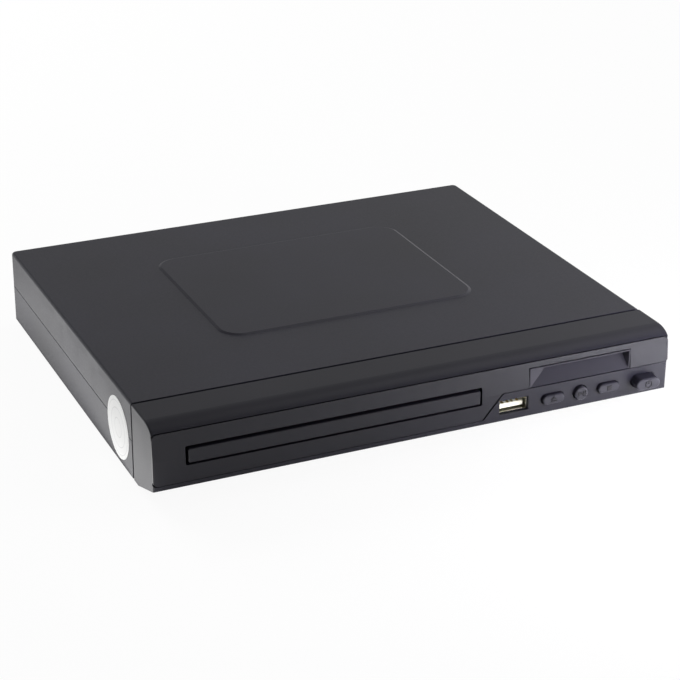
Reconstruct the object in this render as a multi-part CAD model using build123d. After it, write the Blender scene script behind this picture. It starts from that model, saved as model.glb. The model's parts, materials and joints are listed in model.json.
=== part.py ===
from build123d import *
import math
import os

# A compact disc player: a moulded case with a slide-out tray, and behind the front panel a
# loader whose gears, cam slide and tilting traverse carry the disc motor and the laser sled.
# Millimetres. X to the right seen from the front, Y towards the back, Z up from the surface
# that the feet stand on.

# Disc
DISC_DIAMETER = 120.0
DISC_THICKNESS = 1.2
DISC_HOLE = 15.0
SMALL_DISC_DIAMETER = 80.0
DISC_CLEARANCE = 0.5

# Tray and its door
TRAY_RIM = 1.9
TRAY_THICKNESS = 5.5
TRAY_FRONT_RIM = 3.5
TRAY_TRAVEL = 130.0
TRAY_FLOOR = 1.6
TRAY_CORNER = 5.0
TRAY_PLAY = 0.8
TRAY_LIFT_GAP = 0.3
RECESS_DEPTH = 3.0
SMALL_RECESS_DEPTH = 0.7
RUNNER_WIDTH = 5.5
KEYHOLE_WIDTH = 36.0
KEYHOLE_FRONT = 19.0
KEYHOLE_REAR = 70.0
KEYHOLE_CORNER = 12.0
FINGER_NOTCH_RADIUS = 11.0
NOTCH_DIRECTION = -40.0
DOOR_THICKNESS = 4.0
DOOR_PROUD = 0.8
DOOR_OVERLAP = 0.5
DOOR_RISE = 0.2
DOOR_GAP = 1.1
DOOR_EDGE = 0.6

# Case
WALL = 2.0
FOOT_HEIGHT = 3.0
TRAY_LEVEL = 19.05
HEADROOM = 13.95
SEAM_HEIGHT = 16.4
SEAM_GAP = 0.35
SEAM_LIP = 1.8
SEAM_LIP_WALL = 0.9
SEAM_CLEARANCE = 0.15
REAR_RISE = 5.8
REAR_RISE_INSET = 4.0
REAR_SPACE = 22.5
CASE_CORNER = 2.5
LID_EDGE = 1.2
PLATEAU_WIDTH = 119.0
PLATEAU_LENGTH = 91.5
PLATEAU_HEIGHT = 0.5
PLATEAU_SHOULDER = 1.3
PLATEAU_CORNER = 10.0
PLATEAU_SETBACK = 65.5
POST_RADIUS = 3.75
POST_WALL_GAP = 0.75
POST_CHASSIS_GAP = 1.65
POST_END_GAP = 7.0
POST_MEET = 9.0
FLOOR_SLOT_WIDTH = 2.4
FLOOR_SLOT_LENGTH = 26.0
FLOOR_SLOT_PITCH = 6.0
FLOOR_SLOT_COUNT = 8
REAR_SLOT_WIDTH = 1.8
REAR_SLOT_HEIGHT = 9.0
REAR_SLOT_PITCH = 4.5
REAR_SLOT_COUNT = 9
FOOT_RADIUS = 6.5
FOOT_SEAT = 0.8
FOOT_INSET = 19.0
FOOT_TAPER = 0.8
SEAL_DIAMETER = 26.2
SEAL_THICKNESS = 0.12
SEAL_SETBACK = 41.0
SEAL_LEVEL = 14.7

# Front panel
BEZEL_DEPTH = 23.0
BEZEL_WALL = 2.0
BEZEL_LIP = 6.0
BEZEL_SLANT = 18.0
BEZEL_CURVE_RUN = 8.5
BEZEL_CURVE_RISE = 4.6
BEZEL_EDGE = 0.6
JOINT_GAP = 1.3
TAB_WIDTH = 14.0
TAB_LENGTH = 5.0
TAB_THICKNESS = 1.5
TAB_GAP = 0.2
tab_shares = (-0.62, 0.08, 0.80)
FASCIA_THICKNESS = 0.9
FASCIA_GAP = 0.45
FASCIA_PROUD = 0.35
FASCIA_LEAN = 0.95
FASCIA_RISE = 2.2
FASCIA_DROP = 3.2
FASCIA_CORNER = 2.2
FASCIA_BEND = 1.2
STRIP_LEVEL = 18.7
STRIP_FOOT = 0.2
STRIP_HEAD = 9.3
OPENING_CORNER = 0.8
WINDOW_WIDTH = 48.0
WINDOW_HEIGHT = 8.5
WINDOW_GAP = 0.3
WINDOW_THICKNESS = 6.5
WINDOW_RIM = 0.5
SCOOP_DEPTH = 4.2
SCOOP_LEFT = 10.0
SCOOP_RIGHT = 1.6
SCOOP_FLAT = 0.8

# Buttons, switches and the sockets of the front board
BUTTON_LEVEL = 12.0
PILL_WIDTH = 10.2
PILL_HEIGHT = 4.2
ROUND_DIAMETER = 6.3
BUTTON_GAP = 0.35
BUTTON_PROUD = 1.6
BUTTON_EDGE = 0.7
BUTTON_TRAVEL = 0.8
BUTTON_FLANGE = 0.9
BUTTON_FLANGE_THICKNESS = 1.2
BUTTON_REST_GAP = 0.2
STEM_RADIUS = 1.9
PLUNGER_RADIUS = 1.5
PLUNGER_CLEARANCE = 0.1
PLUNGER_DIP = 0.7
PLUNGER_SPARE = 0.6
SWITCH_WIDTH = 6.0
SWITCH_DEPTH = 3.8
SWITCH_FLOOR = 0.8
POWER_WIDTH = 11.4
POWER_HEIGHT = 5.2
POWER_PROUD = 5.0
POWER_TRAVEL = 3.0
POWER_SWITCH_WIDTH = 8.4
POWER_SWITCH_DEPTH = 5.0
BOARD_THICKNESS = 1.6
FRONT_BOARD_SETBACK = 15.0
FRONT_BOARD_LOW = 6.5
FRONT_BOARD_HEIGHT = 21.0
FRONT_BOARD_EDGE = 1.5
FRONT_POST_RADIUS = 2.6
FRONT_POST_INSET = 4.6
FRONT_POST_LEVEL = 23.2
USB_WIDTH = 13.2
USB_HEIGHT = 5.7
USB_SHELL = 0.35
USB_GAP = 0.25
USB_SETBACK = 1.2
USB_TONGUE_WIDTH = 11.1
USB_TONGUE_THICKNESS = 1.9
USB_TONGUE_SETBACK = 1.6
USB_TONGUE_RISE = -0.75
USB_BACK = 1.6
DISPLAY_WIDTH = 40.0
DISPLAY_HEIGHT = 8.0
DISPLAY_GAP = 0.4
RIBBON_WIDTH = 15.0
RIBBON_THICKNESS = 0.4
RIBBON_BEND = 3.0
RIBBON_DIP = 2.2
RIBBON_LEVEL = 10.0
CONNECTOR_WIDTH = 19.0
CONNECTOR_HEIGHT = 3.0
CONNECTOR_DEPTH = 4.0
JUMPER_WIDTH = 9.0
JUMPER_RISE = 6.0
usb_share = 0.171
eject_share = 0.374
play_share = 0.524
stop_share = 0.674
power_share = 0.868
window_share = 0.519
ribbon_share = 0.50

# Loader chassis
RAIL_WALL = 2.2
RAIL_LEDGE = 3.0
RAIL_LEDGE_HEIGHT = 1.8
RAIL_HOOK = 1.9
RAIL_HOOK_HEIGHT = 1.3
RAIL_HOOK_LENGTH = 9.0
CHASSIS_SETBACK = 12.0
CHASSIS_TAIL = 5.5
CHASSIS_LIFT = 2.5
CHASSIS_PLATE = 2.0
CHASSIS_CORNER = 3.0
EAR_RADIUS = 3.3
EAR_REACH = 4.0
EAR_FRONT = 46.0
EAR_REAR = 20.0
CHANNEL_FLOOR = 1.5
CHANNEL_LIP = 1.6
CHANNEL_LIP_WIDTH = 2.2
hook_shares = (0.06, 0.62)

# Loading drive: rack, compound gear, belt pulley and motor
GEAR_MODULE = 0.8
GEAR_BACKLASH = 0.16
RACK_PINION_TEETH = 18
WHEEL_TEETH = 30
PULLEY_PINION_TEETH = 12
GEAR_FACE = 3.0
GEAR_STEP = 0.4
GEAR_PIN = 3.0
GEAR_SEAT_RADIUS = 3.2
GEAR_SEAT_HEIGHT = 1.3
RUNNING_CLEARANCE = 0.05
END_PLAY = 0.2
RACK_BACK = 2.2
RACK_LEAD = 7.0
RACK_INSET = 3.7
DRIVE_SETBACK = 28.0
PULLEY_DIRECTION = 192.0
PULLEY_RADIUS = 7.5
PULLEY_GROOVE = 6.2
PULLEY_HEIGHT = 3.6
MOTOR_PULLEY_RADIUS = 3.4
MOTOR_PULLEY_GROOVE = 2.2
BELT_THICKNESS = 1.0
BELT_LENGTH = 30.0
LOADING_MOTOR_RADIUS = 8.0
LOADING_MOTOR_HEIGHT = 5.2
MOTOR_SHAFT = 2.0
MOTOR_FLOOR = 0.8
MOTOR_EDGE = 1.0
MOTOR_CUP_WALL = 1.4
MOTOR_CUP_HEIGHT = 2.2
PRESSURE_ANGLE = 20.0
addendum_share = 0.80
dedendum_share = 1.10
groove_flat_share = 0.22
flank_shares = (0.0, 0.35, 0.7, 1.0)

# Cam slide
CAM_TRAVEL = 14.0
CAM_THICKNESS = 3.0
CAM_BELOW = 1.9
CAM_ABOVE = 1.4
CAM_END = 5.0
CAM_SIDE_GAP = 0.3
CAM_PIN_RADIUS = 1.2
CAM_SLOT_GAP = 0.12
CAM_PIN_SPACING = 48.0
CAM_PIN_DROP = 1.4
CAM_PIN_PAST = 0.4

# Traverse with disc motor and laser sled, sizes given in its raised, level position
DISC_LIFT = 0.7
HUB_HEIGHT = 1.5
HUB_CLEAR = 0.3
HUB_TAPER = 1.6
HUB_PLAY = 0.2
TURNTABLE_RADIUS = 14.5
TURNTABLE_THICKNESS = 1.7
SPINDLE_RADIUS = 1.0
SPINDLE_DIP = 3.0
SPINDLE_MOTOR_RADIUS = 12.0
SPINDLE_MOTOR_HEIGHT = 5.4
SPINDLE_MOTOR_GAP = 0.6
SPINDLE_MOTOR_EDGE = 0.6
DECK_THICKNESS = 1.5
DECK_WALL = 2.4
DECK_HALF_WIDTH = 38.0
DECK_FRONT = 19.5
DECK_SKIRT = 1.6
DECK_RIM = 3.0
PIVOT_RADIUS = 2.0
PIVOT_LENGTH = 4.2
PIVOT_WALL = 2.2
PIVOT_TAIL = 5.0
PIVOT_SIDE_GAP = 0.4
BED_REAR_WALL = 5.0
LENS_INNER = 24.0
SLED_TRAVEL = 34.0
SLED_FORWARD = 10.0
SLED_REAR = 18.0
SLED_ROD_GAP = 5.5
SLED_HEIGHT = 5.2
SLED_ARM = 10.0
SLED_WEB = 5.0
SLED_GAP = 1.0
SLEEVE_WALL = 1.5
ROD_RADIUS = 1.5
ROD_SCREW_GAP = 8.0
ROD_BLOCK = 4.0
ROD_SEAT = 3.0
ROD_RISE = 0.4
LENS_HOUSING_WIDTH = 17.0
LENS_HOUSING_LENGTH = 14.0
LENS_HOUSING_HEIGHT = 2.4
LENS_RADIUS = 2.6
LENS_COLLAR = 0.9
LENS_HEIGHT = 0.7
SCREW_RADIUS = 1.5
SCREW_WALL_GAP = 5.6
SCREW_SIDE_GAP = 0.2
SLED_MOTOR_RADIUS = 4.4
SLED_MOTOR_LENGTH = 14.0
SLED_MOTOR_PLATE = 2.0

# Clamp over the disc
BRIDGE_THICKNESS = 1.2
BRIDGE_DEPTH = 40.0
BRIDGE_FLANGE = 1.8
CLAMPER_RADIUS = 14.0
CLAMPER_PLATE = 2.0
CLAMPER_NECK = 8.8
CLAMPER_NECK_GAP = 0.5
CLAMPER_CAP_RADIUS = 12.0
CLAMPER_CAP = 1.2
CLAMPER_LID_GAP = 1.8
CLAMPER_HANG = 0.1
CLAMPER_OVERLAP = 0.3
CLAMPER_HUB_GAP = 0.5

# Boards inside the case
BOARD_LIFT = 3.0
BOARD_GAP = 3.0
BOARD_WALL_GAP = 1.0
BOARD_POST_RADIUS = 2.6
BOARD_POST_INSET = 4.0
MAIN_POST_SETBACK = 16.0
MAIN_BOARD_DEPTH = 92.0
CHIP_SIZE = 20.0
CHIP_HEIGHT = 1.8
TRANSFORMER_WIDTH = 20.0
TRANSFORMER_DEPTH = 14.0
TRANSFORMER_HEIGHT = 15.0
TRANSFORMER_CORE = 6.0
TRANSFORMER_BAND = 1.6
CAPACITOR_RADIUS = 5.0
CAPACITOR_HEIGHT = 14.0
CAPACITOR_EDGE = 0.8
chip_across_share = 0.45
chip_along_share = 0.45
transformer_share = 0.52
capacitor_shares = (0.30, 0.72, 0.84)

# Sockets at the back
JACK_REACH = 8.5
JACK_RADIUS = 4.15
JACK_WALL = 0.5
JACK_BORE = 1.7
JACK_BORE_DEPTH = 9.0
JACK_FACE_SETBACK = 0.6
JACK_COLLAR_RADIUS = 5.7
JACK_COLLAR_PROUD = 0.8
JACK_HOLE_GAP = 0.3
JACK_PITCH = 14.0
JACK_RISE = 6.6
JACK_BLOCK_HEIGHT = 12.6
JACK_BLOCK_DEPTH = 9.5
JACK_BLOCK_MARGIN = 0.9
JACK_MARGIN = 0.45
HDMI_WIDTH = 15.0
HDMI_MARGIN = 7.0
HDMI_GAP = 2.1
HDMI_HEIGHT = 5.6
HDMI_SHELL = 0.45
HDMI_DEPTH = 11.5
HDMI_PROUD = 0.5
HDMI_CHAMFER = 1.4
HDMI_HOLE_GAP = 0.4
HDMI_TONGUE_WIDTH = 10.6
HDMI_TONGUE_THICKNESS = 1.0
HDMI_TONGUE_SETBACK = 1.5
HDMI_BACK = 1.5
INLET_WIDTH = 22.0
INLET_HEIGHT = 13.4
INLET_DEPTH = 14.0
INLET_PROUD = 0.8
INLET_MOUTH_WIDTH = 17.6
INLET_MOUTH_HEIGHT = 9.0
INLET_MOUTH_DEPTH = 11.5
INLET_HOLE_GAP = 0.3
INLET_PIN_RADIUS = 1.2
INLET_PIN_PITCH = 8.6
INLET_PIN_SETBACK = 2.0
INLET_PIN_GAP = 0.05
inlet_share = 0.10

# Screws
SCREW_SHANK = 1.3
SCREW_HEAD = 2.5
SCREW_HEAD_HEIGHT = 1.6
SCREW_LENGTH = 5.0
SCREW_CLEARANCE = 0.3
PILOT_CLEARANCE = 0.05
CASE_SHANK = 1.5
CASE_HEAD = 2.6
CASE_HEAD_HEIGHT = 2.0
CASE_BITE = 8.0
CASE_SEAT_WALL = 2.0

# Every cut runs past its face by this
OVERRUN = 1.0

# Worked out: heights
base_z = FOOT_HEIGHT
floor_z = base_z + WALL
tray_z = base_z + TRAY_LEVEL
top_z = tray_z + HEADROOM
lid_inner_z = top_z - WALL
seam_z = base_z + SEAM_HEIGHT
rear_rise_z = seam_z + REAR_RISE
lip_z = base_z + BEZEL_LIP
tray_top = tray_z + TRAY_THICKNESS / 2
tray_low = tray_z - TRAY_THICKNESS / 2
disc_floor = tray_top - RECESS_DEPTH
tray_under = disc_floor - TRAY_FLOOR
plate_low = floor_z + CHASSIS_LIFT
plate_top = plate_low + CHASSIS_PLATE
button_z = base_z + BUTTON_LEVEL
strip_z = base_z + STRIP_LEVEL
fascia_top = top_z - FASCIA_DROP
board_low = floor_z + BOARD_LIFT
board_top = board_low + BOARD_THICKNESS
seat_z = disc_floor + DISC_LIFT
cap_top = lid_inner_z - CLAMPER_LID_GAP
bridge_top = cap_top - CLAMPER_CAP - CLAMPER_HANG
bridge_low = bridge_top - BRIDGE_THICKNESS

# Worked out: depths behind the flat front face
recess_radius = DISC_DIAMETER / 2 + DISC_CLEARANCE
tray_depth = DOOR_THICKNESS - DOOR_PROUD
disc_depth = tray_depth + TRAY_FRONT_RIM + recess_radius
tail_depth = DRIVE_SETBACK + TRAY_TRAVEL + RACK_LEAD
case_depth = tail_depth + CHASSIS_TAIL + REAR_SPACE + WALL
front_y = (POWER_PROUD - JACK_REACH - case_depth) / 2
back_y = front_y + case_depth
joint_y = front_y + BEZEL_DEPTH
shell_y = joint_y + JOINT_GAP
inner_back_y = back_y - WALL
tray_y = front_y + tray_depth
disc_y = front_y + disc_depth
tail_y = front_y + tail_depth
chassis_front = front_y + CHASSIS_SETBACK
chassis_rear = tail_y + CHASSIS_TAIL
front_board_y = front_y + FRONT_BOARD_SETBACK
panel_rear = front_y + BEZEL_WALL
fascia_y = front_y - FASCIA_PROUD
usb_y = front_y + USB_SETBACK

# Worked out: widths
tray_width = 2 * (recess_radius + TRAY_RIM)
door_width = tray_width + 2 * DOOR_OVERLAP
door_height = TRAY_THICKNESS + 2 * DOOR_RISE
opening_width = door_width + 2 * DOOR_GAP
opening_height = door_height + 2 * DOOR_GAP
rail_inner = tray_width / 2 + TRAY_PLAY
rail_outer = rail_inner + RAIL_WALL
left_space = WALL + POST_WALL_GAP + 2 * POST_RADIUS + POST_CHASSIS_GAP
jack_block_width = 2 * (JACK_PITCH + JACK_COLLAR_RADIUS + JACK_BLOCK_MARGIN)
board_width = HDMI_MARGIN + HDMI_WIDTH + HDMI_GAP + jack_block_width + JACK_MARGIN
chassis_side = rail_outer + EAR_REACH + EAR_RADIUS
right_space = BOARD_WALL_GAP + 2 * POST_RADIUS + POST_WALL_GAP + WALL
control_width = chassis_side + BOARD_GAP + board_width + right_space - opening_width / 2
case_width = left_space + rail_outer + opening_width / 2 + control_width
half_width = case_width / 2
inner_half = half_width - WALL
rear_half = inner_half - REAR_RISE_INSET
tray_x = left_space + rail_outer - half_width
control_x = tray_x + opening_width / 2
chassis_right = tray_x + chassis_side
post_x = inner_half - POST_WALL_GAP - POST_RADIUS
usb_x = control_x + usb_share * control_width
power_x = control_x + power_share * control_width
window_x = control_x + window_share * control_width
board_left = chassis_right + BOARD_GAP
board_right = post_x - POST_RADIUS - BOARD_WALL_GAP
board_rear = inner_back_y - BOARD_WALL_GAP
board_front = board_rear - MAIN_BOARD_DEPTH
supply_left = POST_RADIUS + BOARD_WALL_GAP - post_x
supply_right = chassis_right - EAR_RADIUS
supply_front = chassis_rear + BOARD_WALL_GAP
jack_z = board_top + JACK_RISE
hdmi_z = board_top + HDMI_HEIGHT / 2
inlet_z = board_top + INLET_HEIGHT / 2
inlet_x = supply_left + inlet_share * (supply_right - supply_left) + INLET_WIDTH / 2
hdmi_x = board_left + HDMI_MARGIN + HDMI_WIDTH / 2
jack_x = board_right - JACK_MARGIN - jack_block_width / 2

# Worked out: traverse in its level position, and how far it is lowered while the tray moves
screw_offset = DECK_HALF_WIDTH - DECK_WALL - SCREW_WALL_GAP
rod_offset = screw_offset - ROD_SCREW_GAP
sled_width = 2 * (rod_offset - SLED_ROD_GAP)
hub_top = seat_z + HUB_HEIGHT
lens_y = disc_y + LENS_INNER
turntable_low = seat_z - TURNTABLE_THICKNESS
motor_top = turntable_low - SPINDLE_MOTOR_GAP
deck_top = motor_top - SPINDLE_MOTOR_HEIGHT
deck_low = deck_top - DECK_THICKNESS
deck_front = disc_y - DECK_FRONT
rod_z = deck_top + ROD_RISE
bed_front = lens_y - SLED_FORWARD - SLED_GAP
bed_rear = lens_y + SLED_REAR + SLED_TRAVEL + SLED_GAP
deck_rear = bed_rear + BED_REAR_WALL
pivot_y = bed_rear + BED_REAR_WALL / 2
pivot_z = rod_z
rim_top = deck_top + DECK_RIM
rim_low = deck_low - DECK_SKIRT
hub_drop = hub_top - tray_under + HUB_CLEAR
tilt = math.degrees(math.asin(hub_drop / (pivot_y - disc_y)))
cam_rear = deck_front - CHANNEL_LIP_WIDTH - 2 * CAM_SIDE_GAP
cam_front = cam_rear - CAM_THICKNESS
cam_pin_y = (cam_front + cam_rear) / 2
cam_pin_raised = rim_top - CAM_PIN_DROP
cam_rise = (pivot_y - cam_pin_y) * math.sin(math.radians(tilt))
cam_slope = math.atan2(cam_rise, CAM_TRAVEL)
pin_arc = (cam_pin_raised - pivot_z) * math.cos(math.radians(tilt)) + pivot_z
cam_pin_lowered = pin_arc - cam_rise
cam_low = cam_pin_lowered - CAM_PIN_RADIUS - CAM_SLOT_GAP - CAM_BELOW
cam_top = cam_pin_raised + CAM_PIN_RADIUS + CAM_SLOT_GAP + CAM_ABOVE
channel_top = cam_low - END_PLAY

# Worked out: loading drive
rack_x = tray_x + tray_width / 2 - RUNNER_WIDTH - RACK_INSET
drive_x = rack_x - GEAR_MODULE * RACK_PINION_TEETH / 2
drive_y = front_y + DRIVE_SETBACK
pulley_reach = GEAR_MODULE * (WHEEL_TEETH + PULLEY_PINION_TEETH) / 2
pulley_x = drive_x + pulley_reach * math.cos(math.radians(PULLEY_DIRECTION))
pulley_y = drive_y + pulley_reach * math.sin(math.radians(PULLEY_DIRECTION))
motor_x = pulley_x - BELT_LENGTH
wheel_low = plate_top + GEAR_SEAT_HEIGHT + END_PLAY
wheel_top = wheel_low + GEAR_FACE
pulley_low = wheel_top + GEAR_STEP
pulley_top = pulley_low + PULLEY_HEIGHT
belt_z = (pulley_low + pulley_top) / 2
pinion_top = tray_under - TRAY_LIFT_GAP
rack_low = tray_low - DOOR_RISE - DOOR_GAP + TRAY_LIFT_GAP
motor_case_top = plate_top + LOADING_MOTOR_HEIGHT


def block(x_limits, y_limits, z_limits):
    """Rectangular block between two limits on each axis."""
    limits = (x_limits, y_limits, z_limits)
    middle = [(low + high) / 2 for low, high in limits]
    size = [high - low for low, high in limits]
    return Pos(*middle) * Box(*size)


def about(middle, size):
    """The two limits of a size centred on a place."""
    return (middle - size / 2, middle + size / 2)


def post(x, y, z_low, z_high, radius):
    """Upright cylinder."""
    return Pos(x, y, (z_low + z_high) / 2) * Cylinder(radius, z_high - z_low)


def bar_y(x, z, y_low, y_high, radius):
    """Cylinder along Y."""
    return Pos(x, (y_low + y_high) / 2, z) * Rot(90, 0, 0) * Cylinder(radius, y_high - y_low)


def bar_x(y, z, x_low, x_high, radius):
    """Cylinder along X."""
    return Pos((x_low + x_high) / 2, y, z) * Rot(0, 90, 0) * Cylinder(radius, x_high - x_low)


def slab(sketch, z_low, z_high):
    """A sketch in X and Y, given height."""
    return extrude(Plane.XY.offset(z_low) * sketch, amount=z_high - z_low)


def panel(sketch, y_front, y_rear):
    """A sketch in X and Z, given depth along Y."""
    return extrude(Plane.XZ.offset(-y_front) * sketch, amount=y_front - y_rear)


def run_x(sketch, x_low, x_high):
    """A sketch in Y and Z, given length along X."""
    return extrude(Plane.YZ.offset(x_low) * sketch, amount=x_high - x_low)


def polygon(*points):
    """Face with straight sides through the points."""
    return make_face(Polyline(*points, close=True))


def lowered(shape):
    """A piece of the traverse, turned from the level position down to where it rests."""
    return Pos(0, pivot_y, pivot_z) * Rot(tilt, 0, 0) * Pos(0, -pivot_y, -pivot_z) * shape


def pan_screw(x, y, z_seat):
    """Upright self-tapping screw whose head sits on a face."""
    head = post(x, y, z_seat, z_seat + SCREW_HEAD_HEIGHT, SCREW_HEAD)
    head = fillet(head.faces().sort_by(Axis.Z)[-1].edges(), SCREW_HEAD_HEIGHT / 2)
    return head + post(x, y, z_seat - SCREW_LENGTH, z_seat, SCREW_SHANK)


def pilot(x, y, z_seat):
    """Hole that takes the shank of an upright screw."""
    return post(x, y, z_seat - SCREW_LENGTH - OVERRUN, z_seat, SCREW_SHANK + PILOT_CLEARANCE)


def pill(width, height):
    """Outline with round ends."""
    return SlotOverall(width, height)


# Places shared by pieces that are screwed together
case_posts = [(side * post_x, y)
              for side in (-1, 1)
              for y in (shell_y + POST_END_GAP, inner_back_y - POST_END_GAP)]
ear_y = (front_y + EAR_FRONT, chassis_rear - EAR_REAR)
ears = [(tray_x + side * (rail_outer + EAR_REACH), y) for side in (-1, 1) for y in ear_y]
main_posts = [(x, y)
              for x in (board_left + BOARD_POST_INSET, board_right - BOARD_POST_INSET)
              for y in (board_front + BOARD_POST_INSET, board_rear - MAIN_POST_SETBACK)]
supply_posts = [(x, supply_front + BOARD_POST_INSET)
                for x in (supply_left + BOARD_POST_INSET, supply_right - BOARD_POST_INSET)]
bridge_screws = [(tray_x + side * (rail_inner + rail_outer) / 2, disc_y) for side in (-1, 1)]
foot_places = [(side * (half_width - FOOT_INSET), y)
               for side in (-1, 1)
               for y in (shell_y + FOOT_INSET, back_y - FOOT_INSET)]
front_post_x = (control_x + STRIP_HEAD + FRONT_POST_INSET, inner_half - FRONT_POST_INSET)
front_post_z = base_z + FRONT_POST_LEVEL
jack_places = [jack_x + step * JACK_PITCH for step in (-1, 0, 1)]
ribbon_x = control_x + ribbon_share * control_width
screw_x = tray_x - screw_offset
meet_z = floor_z + POST_MEET
front_link_z = base_z + RIBBON_LEVEL
main_link_z = board_top + CONNECTOR_HEIGHT / 2
gear_pins = [(drive_x, drive_y), (pulley_x, pulley_y)]
button_x = {"eject": control_x + eject_share * control_width,
            "play": control_x + play_share * control_width,
            "stop": control_x + stop_share * control_width,
            "power": power_x}
switch_front = {name: front_board_y - SWITCH_DEPTH for name in button_x}
switch_front["power"] = front_board_y - POWER_SWITCH_DEPTH
stem_end = {name: front - BUTTON_TRAVEL - PLUNGER_SPARE for name, front in switch_front.items()}
stem_end["power"] = switch_front["power"] - POWER_TRAVEL - PLUNGER_SPARE


def bezel_outline(inset):
    """Side outline of the front panel, drawn in by the inset: slanted underside, upright face
    and a rounded edge that runs into the flat top."""
    face = front_y + inset
    low = base_z + inset
    high = top_z - inset
    slope = math.atan2(BEZEL_LIP, BEZEL_SLANT)
    shift = inset / math.cos(slope)
    slant_end = front_y + BEZEL_SLANT + (shift - inset) / math.tan(slope)
    face_low = lip_z - inset * math.tan(slope) + shift
    run = BEZEL_CURVE_RUN - inset
    rise = BEZEL_CURVE_RISE - inset
    straight = Polyline((face + run, high), (joint_y, high), (joint_y, low), (slant_end, low),
                        (face, face_low), (face, high - rise))
    curve = EllipticalCenterArc((face + run, high - rise), run, rise, 90, arc_size=90)
    return make_face([*straight.edges(), curve])


def fascia_outline(grow):
    """L-shaped outline of the fascia: its lower right corner is cut away along a slant for the
    socket and the buttons."""
    left = -half_width - grow
    right = half_width + grow
    slant = 2 * grow
    low = lip_z + FASCIA_RISE - grow
    high = fascia_top + grow
    corners = ((left, low), (control_x + STRIP_FOOT + slant, low),
               (control_x + STRIP_HEAD + slant, strip_z - grow), (right, strip_z - grow),
               (right, high), (left, high))
    radii = (FASCIA_CORNER, FASCIA_BEND, FASCIA_BEND, FASCIA_BEND, FASCIA_CORNER, FASCIA_CORNER)
    return make_face(FilletPolyline(*corners, radius=radii, close=True))


def tray_opening():
    """Outline of the slot that the tray comes out of."""
    return Pos(tray_x, tray_z) * RectangleRounded(opening_width, opening_height, OPENING_CORNER)


def window_outline(grow):
    """Outline of the display window in the upper strip of the fascia."""
    middle_z = strip_z + WINDOW_HEIGHT / 2
    return Pos(window_x, middle_z) * Rectangle(WINDOW_WIDTH + 2 * grow, WINDOW_HEIGHT + 2 * grow)


def button_outline(name, grow):
    """Outline of a push button, or of its hole or flange when grown."""
    if name == "power":
        shape = pill(POWER_WIDTH + 2 * grow, POWER_HEIGHT + 2 * grow)
    elif name == "play":
        shape = Circle(ROUND_DIAMETER / 2 + grow)
    else:
        shape = pill(PILL_WIDTH + 2 * grow, PILL_HEIGHT + 2 * grow)
    return Pos(button_x[name], button_z) * shape


def front_panel():
    """Moulded front: a shell open at the back, with the tray slot, a shallow seat for the
    fascia, holes for window, socket and buttons, board posts and tabs that slide into the case."""
    outer = run_x(bezel_outline(0), -half_width, half_width)
    uprights = outer.edges().filter_by(Plane.YZ).group_by(Axis.Y)[0]
    outer = fillet(uprights, BEZEL_EDGE)
    skin = outer - run_x(bezel_outline(FASCIA_THICKNESS), -half_width, half_width)
    seat = skin & panel(fascia_outline(FASCIA_GAP), front_y - OVERRUN, joint_y)
    hollow = run_x(bezel_outline(BEZEL_WALL), -inner_half, inner_half)
    mouth = block((-inner_half, inner_half), (joint_y - BEZEL_WALL, joint_y + OVERRUN),
                  (base_z + BEZEL_WALL, top_z - BEZEL_WALL))
    cuts = [tray_opening(), window_outline(WINDOW_GAP), usb_outline(USB_GAP)]
    cuts += [button_outline(name, BUTTON_GAP) for name in button_x]
    holes = [panel(cut, front_y - OVERRUN, panel_rear + OVERRUN) for cut in cuts]
    shell = outer - hollow - mouth - seat - holes
    posts = [bar_y(x, front_post_z, panel_rear, front_board_y, FRONT_POST_RADIUS) for x in front_post_x]
    pilots = [bar_y(x, front_post_z, front_board_y + BOARD_THICKNESS - SCREW_LENGTH - OVERRUN,
                    front_board_y, SCREW_SHANK + PILOT_CLEARANCE) for x in front_post_x]
    inside = (joint_y - TAB_LENGTH, joint_y)
    reach = (joint_y - TAB_LENGTH, joint_y + TAB_LENGTH)
    lower = floor_z + TAB_GAP
    upper = lid_inner_z - TAB_GAP
    tabs = []
    for share in tab_shares:
        across = about(share * inner_half, TAB_WIDTH)
        tabs.append(block(across, reach, (lower, lower + TAB_THICKNESS)))
        tabs.append(block(across, reach, (upper - TAB_THICKNESS, upper)))
        tabs.append(block(across, inside, (base_z + BEZEL_WALL, lower + TAB_THICKNESS)))
        tabs.append(block(across, inside, (upper - TAB_THICKNESS, top_z - BEZEL_WALL)))
    return shell + posts + tabs - pilots


def front_fascia():
    """Thin plate laid into the front panel: upright and a little proud below, folded at the level
    of the strip, and leaning back from there to the rounded edge of the panel."""
    plate = panel(fascia_outline(0), fascia_y, joint_y)
    plate -= run_x(bezel_outline(FASCIA_THICKNESS), -half_width, half_width)
    lean_y = fascia_y + FASCIA_LEAN
    front = polygon((fascia_y - OVERRUN, strip_z), (fascia_y, strip_z), (lean_y, fascia_top),
                    (lean_y, top_z), (fascia_y - OVERRUN, top_z))
    plate -= run_x(front, -half_width, half_width)
    cuts = [tray_opening(), window_outline(WINDOW_GAP)]
    return plate - [panel(cut, fascia_y - OVERRUN, joint_y) for cut in cuts]


def display_window():
    """Smoked window with a scooped face: flush along its lower edge, deep at the top, with a long
    slant at the left end and a steep one at the right."""
    body = panel(window_outline(0), front_y, front_y + WINDOW_THICKNESS)
    width = WINDOW_WIDTH - 2 * WINDOW_RIM
    height = WINDOW_HEIGHT - WINDOW_RIM
    scoop = Wedge(width, SCOOP_DEPTH, height, SCOOP_LEFT, height - SCOOP_FLAT, width - SCOOP_RIGHT, height,
                  align=(Align.CENTER, Align.MIN, Align.MIN))
    return body - Pos(window_x, front_y, strip_z) * scoop


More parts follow.
